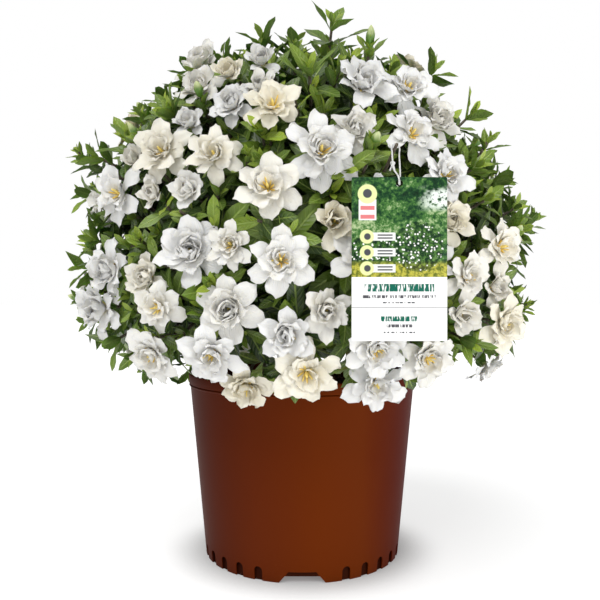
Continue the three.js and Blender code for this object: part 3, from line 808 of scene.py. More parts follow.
@dataclass(frozen=True)
class FloorFinish:
    """A plain pale floor with a fine grain, and a painted shadow that darkens its glow close to
    what stands on it.
    """

    pale: Colour = (0.50, 0.50, 0.50)
    cloud: Colour = (0.47, 0.47, 0.47)
    lit: Colour = (1.0, 1.0, 1.0)
    shade: Colour = (0.30, 0.30, 0.30)
    glow: float = 0.67
    painted_contact_shade: float = 0.06

    def make(self) -> Material:
        """Builds the material.

        Returns:
            The material.
        """
        tree = Tree("pale_floor")
        grain = tree.noise(tree.place(), 0.05)
        colour = tree.blend(grain * 0.03, self.pale, self.cloud)
        # Painted contact shadow: occlusion turns the floor's glow grey near what stands on it.
        painted_contact_shade = tree.node("ShaderNodeAmbientOcclusion", values={"Distance": self.painted_contact_shade}, output="AO")
        return tree.surface(
            Base_Color=colour,
            Roughness=0.8,
            Specular_IOR_Level=0.1,
            Emission_Color=tree.blend(painted_contact_shade.step(1.0, 0.45), self.lit, self.shade),
            Emission_Strength=self.glow,
        )


# ---- shapes made once and copied


@dataclass
class Pattern:
    """A shape modelled once.

    It has corners and faces, and for each corner how far it is to the side from -1 to 1, how far
    along from 0 to 1, and whether it is on the under side.
    """

    corners: np.ndarray
    loops: np.ndarray
    sizes: np.ndarray

    def __post_init__(self) -> None:
        """Works out the place of each corner."""
        self.sideways = self.corners[:, 0]
        self.share = (self.corners[:, 1] + 1.0) / 2.0
        self.under = -self.corners[:, 2]

    @classmethod
    def taken_from(cls, piece: Piece) -> Pattern:
        """Reads a modelled piece and removes it.

        Args:
            piece: The piece.

        Returns:
            The pattern.
        """
        mesh = piece.data
        corners = np.empty(len(mesh.vertices) * 3)
        mesh.vertices.foreach_get("co", corners)
        loops = np.empty(len(mesh.loops), dtype=np.int32)
        mesh.loops.foreach_get("vertex_index", loops)
        sizes = np.empty(len(mesh.polygons), dtype=np.int32)
        mesh.polygons.foreach_get("loop_total", sizes)
        bpy.data.objects.remove(piece)
        bpy.data.meshes.remove(mesh)
        return cls(corners.reshape(-1, 3), loops, sizes)


@dataclass
class Copies:
    """Copies of a pattern, with corners of their own and marks for each copy or each corner."""

    pattern: Pattern
    corners: np.ndarray
    marks: dict[str, np.ndarray]


def fused(name: str, batches: Sequence[Copies], shift: Vector) -> Piece:
    """Joins copies into one mesh.

    Args:
        name: The piece's name.
        batches: The copies, in millimetres.
        shift: Where the plant stands, in millimetres.

    Returns:
        The piece, in metres.
    """
    corners, loops, sizes, maps = [], [], [], []
    marks: dict[str, list[np.ndarray]] = {}
    first = 0
    for batch in batches:
        pattern = batch.pattern
        count, each = batch.corners.shape[:2]
        offsets = first + np.arange(count)[:, None] * each
        corners.append(batch.corners.reshape(-1, 3))
        loops.append((pattern.loops[None, :] + offsets).reshape(-1))
        sizes.append(np.tile(pattern.sizes, count))
        across_map = np.column_stack([pattern.sideways / 2.0 + 0.5, pattern.share])
        maps.append(np.tile(across_map[pattern.loops], (count, 1)))
        for key, value in batch.marks.items():
            marks.setdefault(key, []).append(np.broadcast_to(value, (count, each)).reshape(-1))
        first += each * count
    place = (np.concatenate(corners) + np.array(shift)) * MM
    order, totals = np.concatenate(loops), np.concatenate(sizes)
    starts = np.concatenate([[0], np.cumsum(totals)[:-1]]).astype(np.int32)
    mesh = bpy.data.meshes.new(name)
    mesh.vertices.add(len(place))
    mesh.vertices.foreach_set("co", place.reshape(-1))
    mesh.loops.add(len(order))
    mesh.loops.foreach_set("vertex_index", order)
    mesh.polygons.add(len(totals))
    mesh.polygons.foreach_set("loop_start", starts)
    mesh.uv_layers.new(name="blade").data.foreach_set("uv", np.concatenate(maps).reshape(-1))
    for key, values in marks.items():
        layer = mesh.attributes.new(key, "FLOAT", "POINT")
        layer.data.foreach_set("value", np.concatenate(values).astype(np.float32))
    mesh.update(calc_edges=True)
    mesh.validate()
    piece = bpy.data.objects.new(name, mesh)
    bpy.context.scene.collection.objects.link(piece)
    return piece


def blade_pattern(columns: int, rows: int, pointed: bool) -> Pattern:
    """Models a thin closed blade: two skins that meet at its rim.

    Args:
        columns: The cells across it.
        rows: The cells along it.
        pointed: Whether its tip is one corner.

    Returns:
        The pattern, from -1 to 1 across X and along Y, its under side at z -1.
    """
    bpy.ops.mesh.primitive_grid_add(x_subdivisions=columns, y_subdivisions=rows, size=2)
    piece = named("blade")
    inside = 1.0 - 0.5 / max(columns, rows)
    with editing(piece):
        if pointed:
            pick(piece, lambda at: at.y > inside)
            bpy.ops.mesh.merge(type="CENTER")
        bpy.ops.mesh.select_all(action="SELECT")
        bpy.ops.mesh.duplicate()
        bpy.ops.mesh.flip_normals()
        bpy.ops.transform.translate(value=(0.0, 0.0, -1.0))
        pick(piece, lambda at: at.z < -0.5 and max(abs(at.x), abs(at.y)) > inside)
        bpy.ops.transform.translate(value=(0.0, 0.0, 1.0))
        bpy.ops.mesh.select_all(action="SELECT")
        bpy.ops.mesh.remove_doubles(threshold=0.001)
    return Pattern.taken_from(piece)


def round_pattern(name: str, profile: Rings, sides: int) -> Pattern:
    """Models a small round closed shape.

    Args:
        name: Its name.
        profile: Radius and height of each ring; the height runs from -1 to 1.
        sides: The number of sides.

    Returns:
        The pattern: X and Z across it, Y along it.
    """
    piece = raised(name, [(radius / MM, height / MM) for radius, height in profile], sides)
    piece.data.transform(Matrix.Rotation(math.radians(-90), 4, "X"))
    return Pattern.taken_from(piece)


def stacked(
    frames: Sequence[Sequence[Vector]], values: Sequence[Sequence[float]]
) -> tuple[list[np.ndarray], list[np.ndarray]]:
    """Stacks what each copy has, ready to be used on all corners of a pattern at once.

    Args:
        frames: Each copy's points and directions.
        values: Each copy's numbers.

    Returns:
        An array for each point or direction, and an array for each number.
    """
    frame, row = np.array(frames)[:, :, None, :], np.array(values)[:, :, None]
    return list(frame.swapaxes(0, 1)), list(row.swapaxes(0, 1))


def twisted(
    side: np.ndarray, upper: np.ndarray, angle: np.ndarray
) -> tuple[np.ndarray, np.ndarray]:
    """Turns the directions across a blade about the way that it points.

    Args:
        side: The direction to its side.
        upper: The direction out of its upper face.
        angle: The turn at each corner, in radians.

    Returns:
        The two directions, turned.
    """
    cos, sin = np.cos(angle)[..., None], np.sin(angle)[..., None]
    return side * cos + upper * sin, upper * cos - side * sin


def new_curve(name: str, radius: float, resolution: int) -> bpy.types.Curve:
    """Starts a curve whose strands are round and closed.

    Args:
        name: Its name.
        radius: The radius of a strand, in millimetres.
        resolution: How finely a strand is rounded.

    Returns:
        The curve.
    """
    curve = bpy.data.curves.new(name, "CURVE")
    curve.dimensions = "3D"
    curve.bevel_depth = radius * MM
    curve.bevel_resolution = resolution
    curve.use_fill_caps = True
    return curve


def meshed(curve: bpy.types.Curve) -> Piece:
    """Turns a curve into a mesh.

    Args:
        curve: The curve.

    Returns:
        The piece.
    """
    piece = bpy.data.objects.new(curve.name, curve)
    bpy.context.scene.collection.objects.link(piece)
    only(piece)
    bpy.ops.object.convert(target="MESH")
    return bpy.context.object


# ---- the crown's outline


# The crown's hollows, and its humps with a depth below zero: azimuth in degrees, height, depth, and
# how far up and down each one reaches.
DENTS = [
    (-84, 384, -22, 34), (-84, 326, 12, 22), (-84, 288, -10, 24), (-50, 215, 16, 30),
    (78, 478, 34, 44), (82, 345, -10, 24), (82, 300, 16, 22), (82, 256, -14, 22),
    (62, 205, 26, 32), (50, 535, 22, 34), (0, 540, 14, 30), (-50, 540, -2, 30),
]


@dataclass(frozen=True)
class Crown:
    """The crown: an upper half with an elliptic outline, and a fuller lower half."""

    radius: float = 236.0
    height: float = 272.0
    rise: float = 284.0
    drop: float = 110.0
    flare: float = 1.35
    lump: float = 5.0
    lump_height: float = 52.0
    breadth: float = 38.0

    @property
    def middle(self) -> Vector:
        """The middle of the crown."""
        return Vector((0.0, 0.0, self.height))

    def radius_at(self, height: float) -> float:
        """Finds the outline's radius.

        Args:
            height: The height.

        Returns:
            The radius at that height.
        """
        if height >= self.height:
            share = min(1.0, (height - self.height) / self.rise)
            return self.radius * math.sqrt(1.0 - share * share)
        share = min(1.0, (self.height - height) / self.drop)
        return self.radius * (1.0 - share**3) ** (1.0 / 3.0)

    def outwards(self, point: Vector) -> Vector:
        """Finds the direction out of the crown.

        Args:
            point: Where it is wanted.

        Returns:
            The direction.
        """
        rise = self.rise if point.z >= self.height else self.drop * self.flare
        flat = self.radius**2
        heading = Vector((point.x / flat, point.y / flat, (point.z - self.height) / rise**2))
        return heading.normalized()

    def point(self, azimuth: float, height: float) -> Vector:
        """Returns the outline's point at an azimuth in degrees and a height."""
        radius, angle = self.radius_at(height), math.radians(azimuth)
        return Vector((radius * math.sin(angle), -radius * math.cos(angle), height))

    def hollow(self, azimuth: float, height: float) -> float:
        """Finds how far the loose foliage stays back, so that the crown is lumpy as grown.

        Args:
            azimuth: The azimuth, in degrees.
            height: The height.

        Returns:
            The depth, below zero on a hump.
        """
        turn, level = math.radians(azimuth), height / self.lump_height
        wave = math.sin(3.0 * turn + level) + math.sin(5.0 * turn - 1.3 * level + 1.0)
        depth = self.lump * (wave + 0.7 * math.sin(8.0 * turn + 2.1 * level))
        for middle, at, deep, reach in DENTS:
            aside = ((azimuth - middle + 180.0) % 360.0 - 180.0) / self.breadth
            depth += deep * math.exp(-(aside**2) - ((height - at) / reach) ** 2)
        return depth

    def slide(self, point: Vector) -> Vector:
        """Moves a point straight out or in until it is on the outline.

        Args:
            point: The point.

        Returns:
            The point on the outline.
        """
        offset = point - self.middle
        level = math.hypot(offset.x, offset.y) / self.radius
        if offset.z > 0:
            scale = math.hypot(level, offset.z / self.rise)
        else:
            scale = (level**3 + (-offset.z / self.drop) ** 3) ** (1.0 / 3.0)
        return offset / scale + self.middle


# ---- where the blooms are


@dataclass(frozen=True)
class Opening:
    """How far a bloom is open: its whorls' rise in degrees, and how deep it sits."""

    outer: float
    inner: float
    back: float


class Form(Enum):
    """The three stages of a bloom."""

    OPEN = Opening(10.0, 46.0, 15.0)
    CUP = Opening(42.0, 66.0, 26.0)
    SMALL = Opening(50.0, 70.0, 23.0)


OPEN, CUP, SMALL = Form


@dataclass
class Bloom:
    """One bloom: its place, its size and the way that it faces."""

    index: int
    form: Form
    spot: Vector
    radius: float
    group: int
    partners: list[int] = field(default_factory=list)
    axis: Vector = field(default_factory=Vector)
    base: Vector = field(default_factory=Vector)


@dataclass(frozen=True)
class BloomShape:
    """The sizes that all blooms share."""

    inset: float = 8.0
    neck: float = 3.0
    tube: float = 9.0
    lift: float = 0.12
    front: float = 0.58
    aim: float = 0.1
    ragged: float = 0.09


# The blooms that face the front: azimuth in degrees from the front, negative to the left, then the
# height, the width across the petals, and the form.
FRONT_BLOOMS = [
    (-55, 507, 55, CUP), (-40, 460, 46, CUP), (-26, 472, 38, SMALL), (-9, 462, 36, SMALL),
    (-21, 432, 42, CUP), (-13, 440, 38, SMALL), (-27, 416, 36, SMALL), (-7, 416, 51, OPEN),
    (-2, 384, 64, OPEN), (-30, 390, 58, OPEN), (-17, 372, 51, OPEN), (-6, 350, 57, OPEN),
    (-43, 404, 36, SMALL), (-70, 367, 48, CUP), (-46, 352, 58, OPEN), (-35, 362, 36, SMALL),
    (-30, 340, 40, SMALL), (-21, 318, 57, CUP), (-13, 330, 44, OPEN), (-8, 302, 55, OPEN),
    (-52, 290, 53, CUP), (-58, 258, 55, CUP), (-36, 286, 42, CUP), (-26, 278, 48, OPEN),
    (-14, 270, 53, CUP), (-17, 236, 58, OPEN), (-31, 232, 58, OPEN), (-5, 246, 46, CUP),
    (-15, 205, 55, OPEN), (-1, 200, 57, OPEN), (5, 306, 53, OPEN), (5, 262, 44, CUP),
    (12, 222, 53, OPEN), (18, 192, 57, OPEN), (28, 218, 55, OPEN), (32, 338, 44, CUP),
    (49, 324, 53, OPEN), (36, 284, 48, OPEN), (34, 254, 40, SMALL), (50, 234, 57, OPEN),
    (27, 304, 36, SMALL), (47, 270, 36, SMALL), (11, 460, 55, CUP), (29, 448, 53, OPEN),
    (7, 386, 44, CUP), (19, 398, 51, OPEN), (9, 352, 51, OPEN), (3, 330, 44, SMALL),
    (39, 406, 48, CUP), (29, 374, 53, OPEN),
]


@dataclass
class BloomLayout:
    """Places the blooms: the front ones from their list, the others on a spiral round the crown."""

    crown: Crown
    shape: BloomShape = BloomShape()
    others: int = 28
    first: float = 76.0
    sweep: float = 208.0
    turn: float = 0.618034
    low: float = 186.0
    high: float = 538.0
    crowding: float = 1.15
    width: float = 54.0
    vary: float = 6.0
    forms: tuple[Form, ...] = (OPEN, OPEN, CUP, OPEN, SMALL)
    groups: int = 47
    largest: int = 3
    rounds: int = 50
    apart: float = 1.08
    together: float = 0.88
    tucked: float = 0.78
    share: float = 0.4
    smallest: float = 0.8
    blooms: list[Bloom] = field(default_factory=list)

    def place(self) -> list[Bloom]:
        """Places all blooms.

        Returns:
            The blooms, in the order of their numbers.
        """
        self.blooms = self._sites()
        self._group()
        self._spread()
        self._thin()
        self._spread()
        self._aim()
        return self.blooms

    def _sites(self) -> list[Bloom]:
        """Lists the blooms before they make room for each other.

        Returns:
            The blooms.
        """
        rows = list(FRONT_BLOOMS)
        for i in range(self.others):
            azimuth = self.first + self.sweep * ((i * self.turn) % 1.0)
            height = mix(self.low, self.high, ((i + 0.5) / self.others) ** self.crowding)
            width = self.width + self.vary * drift(i, 1)
            rows.append((azimuth, height, width, self.forms[i % len(self.forms)]))
        return [
            Bloom(index, form, self.crown.point(azimuth, height), width / 2.0, index)
            for index, (azimuth, height, width, form) in enumerate(rows)
        ]

    def _group(self) -> None:
        """Joins the closest blooms into clusters of two or three."""
        pairs = sorted(
            ((a.spot - b.spot).length - a.radius - b.radius, a.index, b.index)
            for a in self.blooms
            for b in self.blooms[: a.index]
        )
        size = [1] * len(self.blooms)
        left = len(self.blooms)
        for _, i, j in pairs:
            a, b = self.blooms[i].group, self.blooms[j].group
            if left <= self.groups:
                break
            if a == b or size[a] + size[b] > self.largest:
                continue
            for bloom in self.blooms:
                if bloom.group == a:
                    bloom.group = b
            size[b] += size[a]
            left -= 1
            self.blooms[i].partners.append(j)

    def _space(self, a: Bloom, b: Bloom) -> float:
        """Finds how far apart two blooms should be.

        Args:
            a: The first bloom.
            b: The second bloom.

        Returns:
            The distance between their spots.
        """
        touching = a.radius + b.radius
        if a.group != b.group:
            return touching * self.apart
        alike = a.form == b.form and b.index in a.partners
        return touching * (self.together if alike else self.tucked)

    def _spread(self) -> None:
        """Moves blooms along the outline until partners touch and all others are clear."""
        for _ in range(self.rounds):
            for a in self.blooms:
                for b in self.blooms[: a.index]:
                    away = a.spot - b.spot
                    distance, wanted = away.length, self._space(a, b)
                    if b.index not in a.partners and distance >= wanted:
                        continue
                    away *= self.share * (wanted - distance) / distance
                    a.spot = self.crown.slide(a.spot + away)
                    b.spot = self.crown.slide(b.spot - away)

    def _thin(self) -> None:
        """Makes blooms that are still too close to a neighbour a little smaller."""
        for a in self.blooms:
            for b in self.blooms:
                if a.group == b.group:
                    continue
                room = (a.spot - b.spot).length / (a.radius + b.radius) / self.apart
                if room < 1.0:
                    a.radius *= max(self.smallest, room)

    def _aim(self) -> None:
        """Gives each bloom the way that it faces and the place of its base."""
        for bloom in self.blooms:
            aim = self.crown.outwards(bloom.spot)
            face = bloom.spot - aim * self.shape.inset
            aim.z += self.shape.lift
            aim.x += self.shape.aim * drift(bloom.index, 5)
            aim.y += self.shape.aim * drift(bloom.index, 6)
            if bloom.index < len(FRONT_BLOOMS):
                aim.y -= self.shape.front
            bloom.axis = aim.normalized()
            bloom.base = face - bloom.axis * bloom.form.value.back


# ---- where the shoots are


@dataclass
class Obstacles:
    """What leaves bend clear of: the blooms, the pot and the tag."""

    blooms: list[Bloom]
    shape: BloomShape
    ahead: float = 0.0
    pot_radius: float = 122.0
    pot_height: float = 191.0
    tag_x: float = 67.8
    tag_half: float = 39.0
    tag_y: float = -238.0
    tag_low: float = 230.0
    tag_high: float = 384.0
    margin: float = 1.0
    stem_margin: float = 1.5
    widens_at: float = 4.0
    starts_at: float = -2.0
    face: float = 0.64

    def __post_init__(self) -> None:
        """Stacks the blooms' values."""
        self._base = np.array([bloom.base for bloom in self.blooms])
        self._axis = np.array([bloom.axis for bloom in self.blooms])
        self._radius = np.array([bloom.radius for bloom in self.blooms])
        self._steep = np.array([1.6 if b.form is OPEN else 1.0 for b in self.blooms])
        self._back = np.array([bloom.form.value.back for bloom in self.blooms])

    def meets(self, points: np.ndarray) -> bool:
        """Tells whether any of some points lies in or close to an obstacle.

        Args:
            points: The points, in rows.

        Returns:
            Whether one of them does.
        """
        x, y, z = points.T
        if np.any((np.hypot(x, y) < self.pot_radius) & (z < self.pot_height)):
            return True
        by_tag = (abs(x - self.tag_x) < self.tag_half) & (y < self.tag_y)
        if np.any(by_tag & (z > self.tag_low) & (z < self.tag_high)):
            return True
        offset = points[:, None, :] - self._base[None]
        up = np.einsum("ijk,jk->ij", offset, self._axis)
        out = np.sqrt(np.maximum(0.0, np.einsum("ijk,ijk->ij", offset, offset) - up * up))
        flare = self._steep * np.maximum(0.0, up - self.widens_at)
        cone = self.shape.neck + self.stem_margin + flare
        inside = (up >= self.starts_at) & (out < np.minimum(self._radius + self.margin, cone))
        near = up < self.shape.tube + self._radius
        if self.ahead:
            near |= (up < self._back + self.ahead) & (out < self.face * self._radius)
        return bool(np.any(inside & near))


@dataclass
class Leaf:
    """One leaf on a shoot."""

    up: float
    rise: float
    length: float
    angle: float
    age: float


@dataclass
class Shoot:
    """A leafy stem: its place, its direction and its leaves."""

    index: int
    place: Vector
    axis: Vector
    fine: bool
    leaves: list[Leaf] = field(default_factory=list)

    def frame(self, leaf: Leaf) -> tuple[Vector, Vector, Vector]:
        """Finds the directions of a leaf.

        Args:
            leaf: The leaf.

        Returns:
            The directions along it, across it, and out of its upper side.
        """
        out = around(Vector(), across(self.axis), 1.0, leaf.angle)
        rise = math.radians(leaf.rise)
        along = out * math.cos(rise) + self.axis * math.sin(rise)
        side = self.axis.cross(out)
        upper = side.cross(along)
        return along, side, upper if upper.dot(self.axis) > 0 else -upper


@dataclass(frozen=True)
class Whorl:
    """A whorl of three leaves: its height on the stem, its rise in degrees, and its leaves."""

    up: float
    rise: float
    length: float
    age: float


@dataclass(frozen=True)
class ShootKind:
    """A layer of shoots: how many, how deep in the crown, how far apart, and their whorls."""

    sites: int
    most: int
    inset: float
    deeper: float
    spacing: float
    whorls: tuple[Whorl, ...]
    offset: float
    lowest: float = 172.0
    highest: float = 554.0
    uneven: float = 8.0
    upright: float = 0.1
    ahead: float = 0.0
    loose: bool = False
    fine: bool = True


# The deeper layers' high ages give them the darkest leaf colour: partly real old leaves, partly
# painted shade inside the crown.
SHOOT_KINDS = [
    ShootKind(
        400, 58, 29, 20, 36,
        (Whorl(0, 26, 40, 0.50), Whorl(12, 50, 31, 0.34), Whorl(18, 68, 17, 0.08)), 0,
    ),
    ShootKind(
        900, 84, 20, 8, 20,
        (Whorl(-16, 34, 25, 0.50), Whorl(-8, 42, 25, 0.38),
         Whorl(0, 50, 22, 0.26), Whorl(7, 60, 16, 0.12), Whorl(12, 72, 9, 0)),
        0.41, lowest=220, highest=534, upright=0.7, ahead=30, loose=True,
    ),
    ShootKind(
        2400, 380, 38, 12, 14.5,
        (Whorl(-9, 10, 36, 0.62), Whorl(0, 26, 35, 0.5), Whorl(8, 44, 29, 0.36),
         Whorl(14, 62, 17, 0.14)),
        0.23, ahead=30, loose=True,
    ),
    ShootKind(
        1200, 260, 68, 12, 17,
        (Whorl(-8, 8, 44, 0.78), Whorl(4, 36, 40, 0.66)),
        0.57, lowest=176, highest=548, ahead=24, loose=True, fine=False,
    ),
    ShootKind(
        800, 220, 100, 18, 18,
        (Whorl(-8, 5, 54, 0.95), Whorl(6, 38, 50, 0.9)),
        0.81, lowest=178, highest=544, loose=True, fine=False,
    ),
]


@dataclass
class ShootLayout:
    """Places the leafy shoots of every layer between the blooms."""

    crown: Crown
    blooms: list[Bloom]
    shape: BloomShape
    width: float = 0.38
    fold: float = 0.16
    droop: float = 0.16
    uneven_rise: float = 8.0
    uneven_length: float = 0.14
    uneven_age: float = 0.13
    inner_age_and_shade: float = 0.12
    wander: float = 0.35
    start: tuple[float, float] = (0.31, 0.5)
    shorter: tuple[float, ...] = (1.0, 0.82, 0.64)
    bends: tuple[float, ...] = (0.0, 16.0, -16.0, 32.0, -30.0)

    def place(self) -> list[Shoot]:
        """Places all shoots.

        Returns:
            The shoots of all layers.
        """
        shoots: list[Shoot] = []
        for number, kind in enumerate(SHOOT_KINDS):
            shoots += self._layer(kind, number)
            LOG.info("shoots after layer %d: %d", number, len(shoots))
        return shoots

    def _layer(self, kind: ShootKind, number: int) -> list[Shoot]:
        """Places one layer of shoots, evenly over the crown.

        Args:
            kind: The layer.
            number: Its number.

        Returns:
            Its shoots.
        """
        obstacles = Obstacles(self.blooms, self.shape, kind.ahead)
        shoots: list[Shoot] = []
        for i in range(kind.sites):
            if len(shoots) >= kind.most:
                break
            share = (i / PLASTIC_NUMBER + self.start[0] + kind.offset) % 1.0
            azimuth = 360.0 * ((i / PLASTIC_NUMBER**2 + self.start[1] + kind.offset) % 1.0)
            place = self.crown.point(azimuth, mix(kind.lowest, kind.highest, share))
            outwards = self.crown.outwards(place)
            axis = outwards.copy()
            axis.z += kind.upright
            deep = i % 3 == 2
            inset = kind.inset + (kind.deeper if deep else 0.0) + kind.uneven * drift(i, 12)
            if kind.loose:
                axis += Vector([self.wander * drift(i, 20 + number + k) for k in range(3)])
                inset += self.crown.hollow(azimuth, place.z)
            axis.normalize()
            place -= (outwards if kind.loose else axis) * inset
            crowded = any((other.place - place).length < kind.spacing for other in shoots)
            if crowded or obstacles.meets(np.array([place])):
                continue
            shoot = Shoot(i + 1000 * number, place, axis, kind.fine)
            self._grow(i, shoot, kind, deep, obstacles)
            if shoot.leaves:
                shoots.append(shoot)
        return shoots

    def _grow(
        self, i: int, shoot: Shoot, kind: ShootKind, deep: bool, obstacles: Obstacles
    ) -> None:
        """Gives a shoot its leaves, or none where they would not fit.

        Args:
            i: The shoot's number in its layer.
            shoot: The shoot.
            kind: Its layer.
            deep: Whether it is one of the shoots further in.
            obstacles: What its leaves bend clear of.
        """
        start = math.tau * drift(i, 7)
        # Deep shoots are aged further: partly older leaves, partly painted shade.
        aged = self.inner_age_and_shade if deep else 0.0
        for row, whorl in enumerate(kind.whorls):
            for k in range(3):
                longer = 1.0 + self.uneven_length * drift(i * 5 + k, 10 + row)
                leaf = Leaf(
                    up=whorl.up,
                    rise=whorl.rise + self.uneven_rise * drift(i * 7 + k, 8 + row),
                    length=whorl.length * longer,
                    angle=start + math.tau * (k + row / 2.0) / 3.0,
                    age=whorl.age + self.uneven_age * drift(i * 3 + k, 14) + aged,
                )
                if self._settle(shoot, leaf, obstacles):
                    shoot.leaves.append(leaf)
                elif not kind.loose and row < (1 if deep else 2):
                    shoot.leaves.clear()
                    return

    def _points(self, shoot: Shoot, leaf: Leaf) -> np.ndarray:
        """Spreads a few points over a leaf.

        Args:
            shoot: Its shoot.
            leaf: The leaf.

        Returns:
            The points, in rows.
        """
        along, side, upper = shoot.frame(leaf)
        root = shoot.place + shoot.axis * leaf.up
        width = leaf.length * self.width
        points = []
        for share in (0.3, 0.55, 0.8, 1.0):
            half = 0.5 * math.sin(math.pi * min(1.0, 0.16 + 0.84 * share) ** 1.05)
            middle = root + along * (leaf.length * share)
            sag = self.droop * leaf.length * share**2
            for sideways in (-1, 0, 1):
                lift = self.fold * width * abs(sideways) - sag
                points.append(middle + side * (width * half * sideways) + upper * lift)
        return np.array(points)

    def _settle(self, shoot: Shoot, leaf: Leaf, obstacles: Obstacles) -> bool:
        """Bends or shortens a leaf until it is clear.

        Args:
            shoot: The shoot.
            leaf: The leaf.
            obstacles: What it has to be clear of.

        Returns:
            Whether it is clear.
        """
        rise, length = leaf.rise, leaf.length
        for shorter in self.shorter:
            for bend in self.bends:
                leaf.rise = rise + bend
                leaf.length = length * shorter
                if not obstacles.meets(self._points(shoot, leaf)):
                    return True
        return False


# ---- the branches


@dataclass
class Branch:
    """One of the crown's branches: the way it heads and where it leaves the trunk."""

    heading: Vector
    start: Vector
    end: Vector


@dataclass(frozen=True)
class BranchLayout:
    """The trunk's tiers of branches: for each their count, azimuth, tilt and height."""

    crown: Crown
    foot_radius: float = 10.4
    top_radius: float = 8.4
    waist: float = 194.0
    top: float = 318.0
    reach: float = 46.0
    tiers: tuple[tuple[float, ...], ...] = ((4, 45.0, -12.0, 252.0), (3, 0.0, 42.0, 304.0))

    def branches(self) -> list[Branch]:
        """Lists the branches.

        Returns:
            The branches, in the order of their solids.
        """
        found = []
        for count, start, tilt, leaves in self.tiers:
            for k in range(count):
                azimuth = math.radians(start + 360.0 / count * k)
                level = Vector((math.sin(azimuth), -math.cos(azimuth), 0.0))
                angle = math.radians(tilt)
                heading = level * math.cos(angle) + UP * math.sin(angle)
                share = (leaves - self.waist) / (self.top - self.waist)
                radius = mix(self.foot_radius, self.top_radius, share)
                foot = level * (radius * 0.6) + UP * leaves
                rise = UP * max(0.0, self.reach * math.sin(angle))
                found.append(Branch(heading, foot, foot + level * self.reach + rise))
        foot = UP * (self.top - 4.0)
        found.append(Branch(UP.copy(), foot, foot + UP * self.reach))
        return found

    def nearest(self, branches: list[Branch], point: Vector) -> int:
        """Returns the number of the branch whose cone holds a point."""
        heading = (point - self.crown.middle).normalized()
        return max(range(len(branches)), key=lambda i: heading.dot(branches[i].heading))


# ---- the plant


